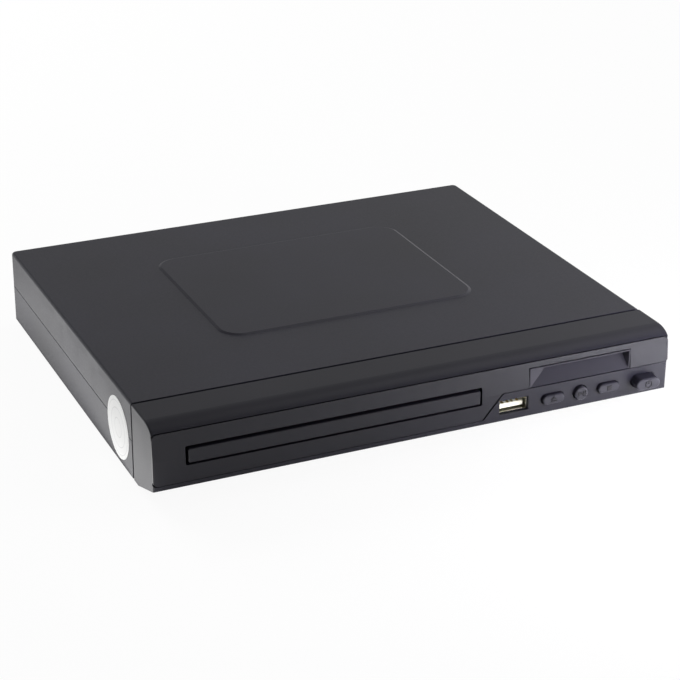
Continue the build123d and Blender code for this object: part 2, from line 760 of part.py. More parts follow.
def push_button(name, proud, edge):
    """Button cap with a flange behind the panel and a stem that reaches its switch."""
    flange_front = panel_rear + BUTTON_REST_GAP
    flange_rear = flange_front + BUTTON_FLANGE_THICKNESS
    cap = panel(button_outline(name, 0), front_y - proud, flange_front)
    cap = fillet(cap.faces().sort_by(Axis.Y)[0].edges(), edge)
    flange = panel(button_outline(name, BUTTON_FLANGE), flange_front, flange_rear)
    return cap + flange + bar_y(button_x[name], button_z, flange_rear, stem_end[name], STEM_RADIUS)


def plunger(name):
    """The part of a switch that the button pushes in."""
    return bar_y(button_x[name], button_z, stem_end[name], switch_front[name] + PLUNGER_DIP, PLUNGER_RADIUS)


def switch_body(name, width):
    """Switch on the front board, with a bore for its plunger."""
    body = block(about(button_x[name], width), (switch_front[name], front_board_y), about(button_z, width))
    return body - bar_y(button_x[name], button_z, switch_front[name], front_board_y - SWITCH_FLOOR,
                        PLUNGER_RADIUS + PLUNGER_CLEARANCE)


def usb_outline(grow):
    """Outline of the data socket."""
    return Pos(usb_x, button_z) * Rectangle(USB_WIDTH + 2 * grow, USB_HEIGHT + 2 * grow)


def usb_shell():
    """Folded steel shell of the data socket, open to the front."""
    tube = usb_outline(0) - usb_outline(-USB_SHELL)
    return panel(tube, usb_y, front_board_y)


def usb_tongue():
    """Plastic tongue that carries the contacts, near the floor of the socket."""
    middle = button_z + USB_TONGUE_RISE
    back = Pos(usb_x, button_z) * Rectangle(USB_WIDTH - 2 * USB_SHELL, USB_HEIGHT - 2 * USB_SHELL)
    start = usb_y + USB_TONGUE_SETBACK
    tongue = block(about(usb_x, USB_TONGUE_WIDTH), (start, front_board_y),
                   about(middle, USB_TONGUE_THICKNESS))
    return tongue + panel(back, front_board_y - USB_BACK, front_board_y)


def front_board():
    """Upright board behind the controls, screwed to the posts of the front panel."""
    low = base_z + FRONT_BOARD_LOW
    left = tray_x + rail_outer + FRONT_BOARD_EDGE
    board = block((left, inner_half - FRONT_BOARD_EDGE), (front_board_y, front_board_y + BOARD_THICKNESS),
                  (low, low + FRONT_BOARD_HEIGHT))
    holes = [bar_y(x, front_post_z, front_board_y - OVERRUN, front_board_y + BOARD_THICKNESS + OVERRUN,
                   SCREW_SHANK + SCREW_CLEARANCE) for x in front_post_x]
    return board - holes


def led_display():
    """Display block between the window and the front board."""
    middle_z = strip_z + WINDOW_HEIGHT / 2
    return block(about(window_x, DISPLAY_WIDTH), (front_y + WINDOW_THICKNESS + DISPLAY_GAP, front_board_y),
                 about(middle_z, DISPLAY_HEIGHT))


def bottom_shell():
    """Lower case: a tub that is open at the front, with screw posts, board and loader posts,
    floor slots, foot seats and a back wall that rises above the seam for the sockets."""
    tub = block((-half_width, half_width), (shell_y, back_y), (base_z, seam_z))
    corners = tub.edges().filter_by(Axis.Z).group_by(Axis.Y)[-1]
    tub = fillet(corners, CASE_CORNER)
    room = block((-inner_half, inner_half), (shell_y - OVERRUN, inner_back_y), (floor_z, seam_z + OVERRUN))
    lip_half = inner_half + SEAM_LIP_WALL
    lip = block((-lip_half, lip_half), (shell_y, inner_back_y + SEAM_LIP_WALL), (seam_z, seam_z + SEAM_LIP))
    lip -= block((-inner_half, inner_half), (shell_y - OVERRUN, inner_back_y),
                 (seam_z - OVERRUN, seam_z + SEAM_LIP + OVERRUN))
    shell = tub - room + lip
    shell += block((-rear_half, rear_half), (inner_back_y, back_y), (seam_z, rear_rise_z))
    shell += [post(x, y, base_z, meet_z, POST_RADIUS) for x, y in case_posts]
    shell += [post(x, y, floor_z, plate_low, EAR_RADIUS) for x, y in ears]
    shell += [post(x, y, floor_z, board_low, BOARD_POST_RADIUS) for x, y in main_posts + supply_posts]
    shell -= [post(x, y, base_z - OVERRUN, meet_z - CASE_SEAT_WALL, CASE_HEAD + SCREW_CLEARANCE)
              for x, y in case_posts]
    shell -= [post(x, y, base_z, meet_z + OVERRUN, CASE_SHANK + SCREW_CLEARANCE) for x, y in case_posts]
    shell -= [pilot(x, y, plate_top) for x, y in ears]
    shell -= [pilot(x, y, board_top) for x, y in main_posts + supply_posts]
    shell -= [post(x, y, base_z - OVERRUN, base_z + FOOT_SEAT, FOOT_RADIUS + RUNNING_CLEARANCE)
              for x, y in foot_places]
    slot = slab(pill(FLOOR_SLOT_LENGTH, FLOOR_SLOT_WIDTH), base_z - OVERRUN, floor_z + OVERRUN)
    slot_x = (board_left + board_right) / 2
    slot_y = (board_front + board_rear) / 2
    shell -= [Pos(slot_x, slot_y + (step - (FLOOR_SLOT_COUNT - 1) / 2) * FLOOR_SLOT_PITCH) * slot
              for step in range(FLOOR_SLOT_COUNT)]
    return shell - [panel(cut, inner_back_y - OVERRUN, back_y + OVERRUN) for cut in back_cuts()]


def back_cuts():
    """Outlines cut through the back wall for the sockets and for cooling slots."""
    cuts = [Pos(x, jack_z) * Circle(JACK_COLLAR_RADIUS + JACK_HOLE_GAP) for x in jack_places]
    hdmi_hole = Rectangle(HDMI_WIDTH + 2 * HDMI_HOLE_GAP, HDMI_HEIGHT + 2 * HDMI_HOLE_GAP)
    inlet_hole = Rectangle(INLET_WIDTH + 2 * INLET_HOLE_GAP, INLET_HEIGHT + 2 * INLET_HOLE_GAP)
    cuts += [Pos(hdmi_x, hdmi_z) * hdmi_hole, Pos(inlet_x, inlet_z) * inlet_hole]
    vent_x = (inlet_x + hdmi_x) / 2
    for step in range(REAR_SLOT_COUNT):
        x = vent_x + (step - (REAR_SLOT_COUNT - 1) / 2) * REAR_SLOT_PITCH
        cuts.append(Pos(x, jack_z) * Rot(0, 0, 90) * pill(REAR_SLOT_HEIGHT, REAR_SLOT_WIDTH))
    return cuts


def top_cover():
    """Upper case: a lid with a low raised field, side walls down to the seam, a rebate for the
    lip of the lower case, a notch over its raised back wall and screw bosses."""
    lid = block((-half_width, half_width), (shell_y, back_y), (seam_z + SEAM_GAP, top_z))
    lid = fillet(lid.edges().filter_by(Axis.Z).group_by(Axis.Y)[-1], CASE_CORNER)
    brow = lid.faces().sort_by(Axis.Z)[-1].edges().filter_by(lambda e: e.center().Y > shell_y + LID_EDGE)
    lid = fillet(brow, LID_EDGE)
    start = shell_y - OVERRUN
    room = block((-inner_half, inner_half), (start, inner_back_y), (seam_z - OVERRUN, lid_inner_z))
    step = SEAM_LIP_WALL + SEAM_CLEARANCE
    rebate = block((-inner_half - step, inner_half + step), (start, inner_back_y + step),
                   (seam_z - OVERRUN, seam_z + SEAM_LIP + SEAM_CLEARANCE))
    field = Pos(0, front_y + PLATEAU_SETBACK + PLATEAU_LENGTH / 2) * RectangleRounded(
        PLATEAU_WIDTH, PLATEAU_LENGTH, PLATEAU_CORNER)
    slope = math.degrees(math.atan2(PLATEAU_SHOULDER, PLATEAU_HEIGHT))
    raised = extrude(Plane.XY.offset(top_z) * field, amount=PLATEAU_HEIGHT, taper=slope)
    notch = block((-rear_half - SEAM_GAP, rear_half + SEAM_GAP), (inner_back_y - OVERRUN, back_y + OVERRUN),
                  (seam_z - OVERRUN, rear_rise_z + SEAM_GAP))
    lid = lid - room - rebate - notch + raised
    lid += [post(x, y, meet_z, lid_inner_z, POST_RADIUS) for x, y in case_posts]
    return lid - [post(x, y, meet_z - OVERRUN, meet_z + CASE_BITE + OVERRUN, CASE_SHANK + PILOT_CLEARANCE)
                  for x, y in case_posts]


def case_screws():
    """Screws driven up through the floor posts into the bosses of the lid."""
    seat = meet_z - CASE_SEAT_WALL
    return [post(x, y, seat - CASE_HEAD_HEIGHT, seat, CASE_HEAD)
            + post(x, y, seat, meet_z + CASE_BITE, CASE_SHANK) for x, y in case_posts]


def rubber_feet():
    """Tapered feet stuck into shallow seats in the floor."""
    foot = Pos(0, 0, base_z / 2) * Cone(FOOT_RADIUS - FOOT_TAPER, FOOT_RADIUS, base_z)
    foot += post(0, 0, base_z, base_z + FOOT_SEAT, FOOT_RADIUS)
    return [Pos(x, y, 0) * foot for x, y in foot_places]


def seal_sticker():
    """Round paper seal across the seam on the left side."""
    return bar_x(front_y + SEAL_SETBACK, base_z + SEAL_LEVEL, -half_width - SEAL_THICKNESS, -half_width,
                 SEAL_DIAMETER / 2)


def rail_section():
    """Side rail of the loader: wall with a ledge under the tray, its underside slanted."""
    ledge_top = tray_low - TRAY_LIFT_GAP
    ledge_low = ledge_top - RAIL_LEDGE_HEIGHT
    return polygon((rail_inner, plate_low), (rail_outer, plate_low), (rail_outer, bridge_low),
                   (rail_inner, bridge_low), (rail_inner, ledge_top), (rail_inner - RAIL_LEDGE, ledge_top),
                   (rail_inner - RAIL_LEDGE, ledge_low), (rail_inner, ledge_low - RAIL_LEDGE))


def loader_chassis():
    """Loader frame: a plate with an opening for the traverse, two tray rails, ears, gear pins,
    a motor cup, a groove for the cam slide and the bearings of the traverse."""
    length = chassis_rear - chassis_front
    middle = (chassis_rear + chassis_front) / 2
    plan = Pos(tray_x, middle) * RectangleRounded(2 * rail_outer, length, CHASSIS_CORNER)
    open_half = DECK_HALF_WIDTH + PIVOT_SIDE_GAP + PIVOT_LENGTH
    open_front = cam_rear + CAM_SIDE_GAP + CHANNEL_LIP_WIDTH
    open_rear = pivot_y - PIVOT_RADIUS - PIVOT_WALL - PIVOT_TAIL
    plan -= Pos(tray_x, (open_front + open_rear) / 2) * Rectangle(2 * open_half, open_rear - open_front)
    plan += [Pos(x, y) * Circle(EAR_RADIUS) for x, y in ears]
    plan += [Pos((x + tray_x + math.copysign(rail_inner, x - tray_x)) / 2, y)
             * Rectangle(abs(x - tray_x) - rail_inner, 2 * EAR_RADIUS) for x, y in ears]
    frame = slab(plan, plate_low, plate_top)
    near = DECK_HALF_WIDTH + PIVOT_SIDE_GAP
    far = near + PIVOT_LENGTH
    bearing_radius = PIVOT_RADIUS + PIVOT_WALL
    side = panel(rail_section(), chassis_front, chassis_rear)
    hook_low = tray_top + TRAY_LIFT_GAP
    for share in hook_shares:
        along = about(chassis_front + share * length, RAIL_HOOK_LENGTH)
        side += block((rail_inner - RAIL_HOOK, rail_inner), along, (hook_low, hook_low + RAIL_HOOK_HEIGHT))
    side += block((near, far), about(pivot_y, 2 * bearing_radius), (plate_low, pivot_z))
    side += bar_x(pivot_y, pivot_z, near, far, bearing_radius)
    side -= bar_x(pivot_y, pivot_z, near - OVERRUN, far + OVERRUN, PIVOT_RADIUS + RUNNING_CLEARANCE)
    frame += Pos(tray_x, 0, 0) * side
    frame += Pos(tray_x, 0, 0) * mirror(side, about=Plane.YZ)
    groove_front = cam_front - CAM_SIDE_GAP
    groove_rear = cam_rear + CAM_SIDE_GAP
    groove_half = CAM_PIN_SPACING / 2 + CAM_TRAVEL + CAM_END + END_PLAY
    across = (tray_x - groove_half, tray_x + groove_half)
    above = plate_top + OVERRUN
    along = (groove_front - CHANNEL_LIP_WIDTH, open_front)
    frame += block(across, along, (channel_top - CHANNEL_FLOOR, plate_top))
    frame -= block(across, (groove_front, groove_rear), (channel_top, above))
    frame -= block(across, (groove_rear, open_front + OVERRUN), (channel_top + CHANNEL_LIP, above))
    frame += [post(x, y, plate_top, wheel_low - END_PLAY, GEAR_SEAT_RADIUS) for x, y in gear_pins]
    for (x, y), top in zip(gear_pins, (pinion_top, pulley_top)):
        frame += post(x, y, plate_top, top, GEAR_PIN / 2)
    cup = Circle(LOADING_MOTOR_RADIUS + RUNNING_CLEARANCE + MOTOR_CUP_WALL)
    cup -= Circle(LOADING_MOTOR_RADIUS + RUNNING_CLEARANCE)
    frame += Pos(motor_x, pulley_y, 0) * slab(cup, plate_top, plate_top + MOTOR_CUP_HEIGHT)
    holes = [post(x, y, plate_low - OVERRUN, above, SCREW_SHANK + SCREW_CLEARANCE) for x, y in ears]
    holes += [pilot(x, y, bridge_top) for x, y in bridge_screws]
    return frame - holes


def clamp_bridge():
    """Steel strap across the rails that the clamper hangs in, stiffened by two upturned edges."""
    low_half = BRIDGE_DEPTH / 2
    section = polygon((disc_y - low_half, bridge_low), (disc_y + low_half, bridge_low),
                      (disc_y + low_half, bridge_top + BRIDGE_FLANGE),
                      (disc_y + low_half - BRIDGE_THICKNESS, bridge_top + BRIDGE_FLANGE),
                      (disc_y + low_half - BRIDGE_THICKNESS, bridge_top),
                      (disc_y - low_half + BRIDGE_THICKNESS, bridge_top),
                      (disc_y - low_half + BRIDGE_THICKNESS, bridge_top + BRIDGE_FLANGE),
                      (disc_y - low_half, bridge_top + BRIDGE_FLANGE))
    strap = run_x(section, tray_x - rail_outer, tray_x + rail_outer)
    holes = [post(x, y, bridge_low - OVERRUN, bridge_top + OVERRUN, SCREW_SHANK + SCREW_CLEARANCE)
             for x, y in bridge_screws]
    return strap - holes - post(tray_x, disc_y, bridge_low - OVERRUN, bridge_top + OVERRUN,
                                CLAMPER_NECK + CLAMPER_NECK_GAP)


def clamper():
    """Puck that holds the disc down on the turntable, with a recess for the hub."""
    low = seat_z + DISC_THICKNESS - CLAMPER_OVERLAP
    puck = post(tray_x, disc_y, low, low + CLAMPER_PLATE, CLAMPER_RADIUS)
    puck += post(tray_x, disc_y, low + CLAMPER_PLATE, cap_top - CLAMPER_CAP, CLAMPER_NECK)
    return puck - post(tray_x, disc_y, low - OVERRUN, hub_top + CLAMPER_HUB_GAP,
                       DISC_HOLE / 2 + CLAMPER_HUB_GAP)


def clamper_cap():
    """Steel cap on top of the clamper, which rests on the bridge."""
    cap = post(tray_x, disc_y, cap_top - CLAMPER_CAP, cap_top, CLAMPER_CAP_RADIUS)
    return fillet(cap.faces().sort_by(Axis.Z)[-1].edges(), CLAMPER_CAP / 2)


def gear_outline(teeth, phase):
    """Spur gear outline. A tooth's half angle at any radius is its half angle at the pitch
    circle plus inv(pressure angle) less inv(angle at that radius), with inv(a) = tan a - a."""
    pitch_radius = GEAR_MODULE * teeth / 2
    base_radius = pitch_radius * math.cos(math.radians(PRESSURE_ANGLE))
    tip_radius = pitch_radius + addendum_share * GEAR_MODULE
    root_radius = pitch_radius - dedendum_share * GEAR_MODULE
    half_pitch = (math.pi * GEAR_MODULE - GEAR_BACKLASH) / (4 * pitch_radius)
    flank_start = max(base_radius, root_radius)
    flank = [flank_start + share * (tip_radius - flank_start) for share in flank_shares]

    def half_angle(radius):
        angle = math.acos(min(base_radius / radius, 1.0))
        pressure = math.radians(PRESSURE_ANGLE)
        return half_pitch + math.tan(pressure) - pressure - math.tan(angle) + angle

    points = []
    for tooth in range(teeth):
        middle = math.radians(phase) + 2 * math.pi * tooth / teeth
        rising = [(root_radius, -half_angle(flank_start))] + [(r, -half_angle(r)) for r in flank]
        falling = [(r, -angle) for r, angle in reversed(rising)]
        points += [(r * math.cos(middle + a), r * math.sin(middle + a)) for r, a in rising + falling]
    return polygon(*points)


def drive_gear():
    """Compound gear: a wheel turned by the belt pulley, and a pinion above it in the rack."""
    hole = Circle(GEAR_PIN / 2 + RUNNING_CLEARANCE)
    wheel = slab(gear_outline(WHEEL_TEETH, PULLEY_DIRECTION) - hole, wheel_low, wheel_top)
    pinion = slab(gear_outline(RACK_PINION_TEETH, 0) - hole, wheel_top, pinion_top)
    return Pos(drive_x, drive_y, 0) * (wheel + pinion)


def grooved(radius, groove, low, high):
    """Revolved belt pulley with a tapered groove."""
    middle = (low + high) / 2
    flat = groove_flat_share * (high - low)
    section = polygon((0, low), (radius, low), (groove, middle - flat), (groove, middle + flat),
                      (radius, high), (0, high))
    return revolve(Plane.XZ * section, Axis.Z)


def pulley_gear():
    """Belt pulley with a small pinion below it."""
    phase = PULLEY_DIRECTION + 180 + 180 / PULLEY_PINION_TEETH
    pinion = slab(gear_outline(PULLEY_PINION_TEETH, phase), wheel_low, pulley_low)
    wheel = grooved(PULLEY_RADIUS, PULLEY_GROOVE, pulley_low, pulley_top)
    bore = post(0, 0, wheel_low - OVERRUN, pulley_top + OVERRUN, GEAR_PIN / 2 + RUNNING_CLEARANCE)
    return Pos(pulley_x, pulley_y, 0) * (pinion + wheel - bore)


def motor_pulley():
    """Small pulley with its shaft, which runs in the loading motor."""
    half = belt_z - motor_case_top - END_PLAY
    wheel = grooved(MOTOR_PULLEY_RADIUS, MOTOR_PULLEY_GROOVE, belt_z - half, belt_z + half)
    shaft = post(0, 0, plate_top + END_PLAY + MOTOR_FLOOR, belt_z, MOTOR_SHAFT / 2)
    return Pos(motor_x, pulley_y, 0) * (wheel + shaft)


def loading_motor():
    """Flat motor that stands in the cup of the chassis."""
    can = post(motor_x, pulley_y, plate_top, motor_case_top, LOADING_MOTOR_RADIUS)
    can = fillet(can.faces().sort_by(Axis.Z)[-1].edges(), MOTOR_EDGE)
    return can - post(motor_x, pulley_y, plate_top + MOTOR_FLOOR, motor_case_top + OVERRUN,
                      MOTOR_SHAFT / 2 + RUNNING_CLEARANCE)


def drive_belt():
    """Rubber belt stretched round the two pulleys."""
    def loop(grow):
        large = Pos(pulley_x, pulley_y) * Circle(PULLEY_GROOVE + RUNNING_CLEARANCE + grow)
        small = Pos(motor_x, pulley_y) * Circle(MOTOR_PULLEY_GROOVE + RUNNING_CLEARANCE + grow)
        return make_hull([*large.edges(), *small.edges()])
    return slab(loop(BELT_THICKNESS) - loop(0), belt_z - BELT_THICKNESS / 2, belt_z + BELT_THICKNESS / 2)


def rack():
    """Rack under the tray: straight-sided teeth towards the pinion, one space facing its axis."""
    pitch = math.pi * GEAR_MODULE
    lean = math.tan(math.radians(PRESSURE_ANGLE))
    half_pitch = (pitch - GEAR_BACKLASH) / 4
    tip = rack_x - addendum_share * GEAR_MODULE
    root = rack_x + dedendum_share * GEAR_MODULE
    half_tip = half_pitch - lean * addendum_share * GEAR_MODULE
    half_root = half_pitch + lean * dedendum_share * GEAR_MODULE
    first = -math.floor(RACK_LEAD / pitch)
    last = math.floor((TRAY_TRAVEL + RACK_LEAD) / pitch) - 1
    points = []
    for tooth in range(first, last + 1):
        middle = drive_y + (tooth + 0.5) * pitch
        points += [(root, middle - half_root), (tip, middle - half_tip), (tip, middle + half_tip),
                   (root, middle + half_root)]
    back = root + RACK_BACK
    points += [(back, points[-1][1]), (back, points[0][1])]
    return slab(polygon(*points), rack_low, tray_under)


def disc_tray():
    """Tray with recesses for the two sizes of disc, a keyhole for turntable and lens, runners
    along both sides and the rack below."""
    length = tail_y - tray_y
    plan = Pos(tray_x, (tray_y + tail_y) / 2) * RectangleRounded(tray_width, length, TRAY_CORNER)
    tray = slab(plan, tray_low, tray_top)
    under_half = tray_width / 2 - RUNNER_WIDTH
    tray -= block((tray_x - under_half, tray_x + under_half), (tray_y + RUNNER_WIDTH, tail_y + OVERRUN),
                  (tray_low - OVERRUN, tray_under))
    above = tray_top + OVERRUN
    small_radius = SMALL_DISC_DIAMETER / 2 + DISC_CLEARANCE
    tray -= post(tray_x, disc_y, disc_floor, above, recess_radius)
    tray -= post(tray_x, disc_y, disc_floor - SMALL_RECESS_DEPTH, above, small_radius)
    keyhole = RectangleRounded(KEYHOLE_WIDTH, KEYHOLE_FRONT + KEYHOLE_REAR, KEYHOLE_CORNER)
    keyhole_y = disc_y + (KEYHOLE_REAR - KEYHOLE_FRONT) / 2
    tray -= Pos(tray_x, keyhole_y, 0) * slab(keyhole, tray_low - OVERRUN, above)
    tray -= block(about(tray_x, KEYHOLE_WIDTH), (disc_y, tail_y + OVERRUN), (disc_floor, above))
    for side in (-1, 1):
        notch_x = tray_x + side * recess_radius * math.cos(math.radians(NOTCH_DIRECTION))
        notch_y = disc_y + recess_radius * math.sin(math.radians(NOTCH_DIRECTION))
        tray -= post(notch_x, notch_y, disc_floor, above, FINGER_NOTCH_RADIUS)
    return tray + rack()


def tray_door():
    """Front of the tray, a bar with rounded edges that stands slightly proud of the panel."""
    outline = Pos(tray_x, tray_z) * RectangleRounded(door_width, door_height, DOOR_EDGE)
    bar = panel(outline, front_y - DOOR_PROUD, tray_y)
    return fillet(bar.faces().sort_by(Axis.Y)[0].edges(), DOOR_EDGE / 2)


def cam_slide():
    """Upright slide with two slanted slots that lift the pins of the traverse."""
    left = tray_x - CAM_PIN_SPACING / 2 - CAM_END
    right = tray_x + CAM_PIN_SPACING / 2 + CAM_TRAVEL + CAM_END
    bar = block((left, right), (cam_front, cam_rear), (cam_low, cam_top))
    slot_length = math.hypot(CAM_TRAVEL, cam_rise) + 2 * (CAM_PIN_RADIUS + CAM_SLOT_GAP)
    slot = Rot(0, 0, math.degrees(cam_slope)) * pill(slot_length, 2 * (CAM_PIN_RADIUS + CAM_SLOT_GAP))
    middle_z = (cam_pin_lowered + cam_pin_raised) / 2
    for side in (-1, 1):
        middle_x = tray_x + side * CAM_PIN_SPACING / 2 + CAM_TRAVEL / 2
        bar -= panel(Pos(middle_x, middle_z) * slot, cam_front - OVERRUN, cam_rear + OVERRUN)
    return bar


def traverse_deck():
    """Tray-shaped deck that tilts on two pivots at its back: seat of the disc motor, bed of the
    laser sled, rod blocks, sled motor plate and two pins for the cam slide."""
    outer = (tray_x - DECK_HALF_WIDTH, tray_x + DECK_HALF_WIDTH)
    inner = (outer[0] + DECK_WALL, outer[1] - DECK_WALL)
    deck = block(outer, (deck_front, deck_rear), (rim_low, rim_top))
    deck -= block(inner, (deck_front + DECK_WALL, bed_rear), (deck_top, rim_top + OVERRUN))
    deck -= block(inner, (deck_front + DECK_WALL, bed_rear), (rim_low - OVERRUN, deck_low))
    deck -= block(inner, (bed_front, bed_rear), (rim_low - OVERRUN, rim_top + OVERRUN))
    rod_x = [tray_x + side * rod_offset for side in (-1, 1)]
    block_size = 2 * (ROD_RADIUS + SLEEVE_WALL)
    block_limits = (deck_low, rod_z + block_size / 2)
    deck += [block(about(x, block_size), (bed_front - ROD_BLOCK, bed_front), block_limits) for x in rod_x]
    motor_rear = bed_front - SLED_MOTOR_PLATE
    motor_front = motor_rear - SLED_MOTOR_LENGTH
    deck += block(about(screw_x, block_size), (motor_rear, bed_front), block_limits)
    motor_room = about(screw_x, 2 * (SLED_MOTOR_RADIUS + SCREW_SIDE_GAP))
    deck -= block(motor_room, (motor_front - SCREW_SIDE_GAP, motor_rear),
                  (rim_low - OVERRUN, rim_top + OVERRUN))
    seat_end = bed_rear + ROD_SEAT
    deck -= [bar_y(x, rod_z, bed_front - ROD_SEAT, seat_end, ROD_RADIUS + RUNNING_CLEARANCE) for x in rod_x]
    deck -= bar_y(screw_x, rod_z, motor_rear - OVERRUN, seat_end, SCREW_RADIUS + RUNNING_CLEARANCE)
    pivot_half = DECK_HALF_WIDTH + PIVOT_SIDE_GAP + PIVOT_LENGTH
    for side in (-1, 1):
        ends = sorted((tray_x + side * (DECK_HALF_WIDTH - DECK_WALL), tray_x + side * pivot_half))
        deck += bar_x(pivot_y, pivot_z, *ends, PIVOT_RADIUS)
        deck += bar_y(tray_x + side * CAM_PIN_SPACING / 2, cam_pin_raised, cam_front - CAM_PIN_PAST,
                      deck_front + DECK_WALL, CAM_PIN_RADIUS)
    return deck


def spindle_motor():
    """Disc motor on the deck, with a bore for the spindle."""
    can = post(tray_x, disc_y, deck_top, motor_top, SPINDLE_MOTOR_RADIUS)
    can = fillet(can.faces().sort_by(Axis.Z)[-1].edges(), SPINDLE_MOTOR_EDGE)
    return can - post(tray_x, disc_y, motor_top - SPINDLE_DIP - END_PLAY, motor_top + OVERRUN,
                      SPINDLE_RADIUS + RUNNING_CLEARANCE)


def turntable():
    """Disc seat with a tapered hub that centres the disc, on the spindle."""
    hub = DISC_HOLE / 2 - HUB_PLAY
    section = polygon((0, motor_top - SPINDLE_DIP), (SPINDLE_RADIUS, motor_top - SPINDLE_DIP),
                      (SPINDLE_RADIUS, turntable_low), (TURNTABLE_RADIUS, turntable_low),
                      (TURNTABLE_RADIUS, seat_z), (hub, seat_z), (hub - HUB_TAPER, hub_top), (0, hub_top))
    return Pos(tray_x, disc_y, 0) * revolve(Plane.XZ * section, Axis.Z)


def guide_rods():
    """Two polished rods that the laser sled runs on."""
    front = bed_front - ROD_SEAT
    rear = bed_rear + ROD_SEAT
    return [bar_y(tray_x + side * rod_offset, rod_z, front, rear, ROD_RADIUS) for side in (-1, 1)]


def sled_motor():
    """Small motor that turns the lead screw."""
    rear = bed_front - SLED_MOTOR_PLATE
    can = bar_y(screw_x, rod_z, rear - SLED_MOTOR_LENGTH, rear, SLED_MOTOR_RADIUS)
    return can - bar_y(screw_x, rod_z, rear - SLED_MOTOR_LENGTH / 2, rear + OVERRUN,
                       SCREW_RADIUS + RUNNING_CLEARANCE)


def lead_screw():
    """Screw that moves the laser sled, running in the sled motor and the back of the deck."""
    front = bed_front - SLED_MOTOR_PLATE - SLED_MOTOR_LENGTH / 2 + END_PLAY
    return bar_y(screw_x, rod_z, front, bed_rear + ROD_SEAT - END_PLAY, SCREW_RADIUS)


def pickup_sled():
    """Laser sled: a body cut round the disc motor, a sleeve on one rod, a fork on the other, an
    arm that half rings the lead screw and the housing of the lens."""
    front = lens_y - SLED_FORWARD
    rear = lens_y + SLED_REAR
    low = rod_z - SLED_HEIGHT / 2
    high = rod_z + SLED_HEIGHT / 2
    sleeve = ROD_RADIUS + SLEEVE_WALL
    bore = ROD_RADIUS + RUNNING_CLEARANCE
    left_rod = tray_x - rod_offset
    right_rod = tray_x + rod_offset
    outline = RectangleRounded(sled_width, rear - front, SLEEVE_WALL)
    plan = Pos(tray_x, (front + rear) / 2) * outline
    plan -= Pos(tray_x, disc_y) * Circle(SPINDLE_MOTOR_RADIUS + SLED_GAP)
    sled = slab(plan, low, high)
    sled += block((left_rod, tray_x), (front + SLED_WEB, rear - SLED_WEB), (low, high))
    sled += bar_y(left_rod, rod_z, front, rear, sleeve)
    sled += block((tray_x, right_rod + sleeve), about(lens_y, SLED_ARM), (low, high))
    fork = (right_rod - bore, right_rod + sleeve + OVERRUN)
    sled -= block(fork, (front - OVERRUN, rear), about(rod_z, 2 * bore))
    arm_half = SCREW_RADIUS + SLEEVE_WALL
    sled += block((screw_x, left_rod), about(lens_y + SLED_ARM, SLED_ARM), about(rod_z, 2 * arm_half))
    sled -= bar_y(screw_x, rod_z, front, rear, SCREW_RADIUS + SCREW_SIDE_GAP)
    sled -= bar_y(left_rod, rod_z, front - OVERRUN, rear + OVERRUN, bore)
    housing_top = high + LENS_HOUSING_HEIGHT
    collar_top = housing_top + LENS_COLLAR
    sled += block(about(tray_x, LENS_HOUSING_WIDTH), about(lens_y, LENS_HOUSING_LENGTH), (high, housing_top))
    sled += post(tray_x, lens_y, high, collar_top, LENS_RADIUS + LENS_COLLAR)
    return sled - post(tray_x, lens_y, housing_top, collar_top + OVERRUN, LENS_RADIUS + RUNNING_CLEARANCE)


def pickup_lens():
    """Small domed lens in its collar."""
    low = rod_z + SLED_HEIGHT / 2 + LENS_HOUSING_HEIGHT
    lens = post(tray_x, lens_y, low, low + LENS_COLLAR + LENS_HEIGHT, LENS_RADIUS)
    return fillet(lens.faces().sort_by(Axis.Z)[-1].edges(), LENS_HEIGHT)


def board(left, right, front, rear, screws):
    """Circuit board on posts, with its screw holes."""
    plate = block((left, right), (front, rear), (board_low, board_top))
    return plate - [post(x, y, board_low - OVERRUN, board_top + OVERRUN, SCREW_SHANK + SCREW_CLEARANCE)
                    for x, y in screws]


def decoder_chip():
    """Large flat chip on the main board."""
    x = board_left + chip_across_share * (board_right - board_left)
    y = board_front + chip_along_share * MAIN_BOARD_DEPTH
    return block(about(x, CHIP_SIZE), about(y, CHIP_SIZE), (board_top, board_top + CHIP_HEIGHT))


def transformer():
    """Switching transformer: a core round a wound bobbin."""
    x = supply_left + transformer_share * (supply_right - supply_left)
    y = (supply_front + board_rear) / 2
    high = board_top + TRANSFORMER_HEIGHT
    bobbin = block(about(x, TRANSFORMER_WIDTH), about(y, TRANSFORMER_DEPTH), (board_top, high))
    core = block(about(x, TRANSFORMER_CORE), about(y, TRANSFORMER_DEPTH + 2 * TRANSFORMER_BAND),
                 (board_top, high + TRANSFORMER_BAND))
    return bobbin + core


def filter_capacitors():
    """Round capacitors of the power supply."""
    y = (supply_front + board_rear) / 2
    cans = []
    for share in capacitor_shares:
        x = supply_left + share * (supply_right - supply_left)
        can = post(x, y, board_top, board_top + CAPACITOR_HEIGHT, CAPACITOR_RADIUS)
        cans.append(fillet(can.faces().sort_by(Axis.Z)[-1].edges(), CAPACITOR_EDGE))
    return cans


def jack_block():
    """Black block behind the back wall that carries the three round sockets."""
    return block(about(jack_x, jack_block_width), (inner_back_y - JACK_BLOCK_DEPTH, inner_back_y - END_PLAY),
                 (board_top, board_top + JACK_BLOCK_HEIGHT))


def jack_core(x):
    """Coloured plastic core of a round socket: a collar in the back wall and a nose with the
    bore of the centre contact."""
    start = inner_back_y - END_PLAY
    collar_end = back_y + JACK_COLLAR_PROUD
    nose_end = back_y + JACK_REACH - JACK_FACE_SETBACK
    core = bar_y(x, jack_z, start, collar_end, JACK_COLLAR_RADIUS)
    core += bar_y(x, jack_z, collar_end, nose_end, JACK_RADIUS - JACK_WALL - RUNNING_CLEARANCE)
    return core - bar_y(x, jack_z, nose_end - JACK_BORE_DEPTH, nose_end + OVERRUN, JACK_BORE)


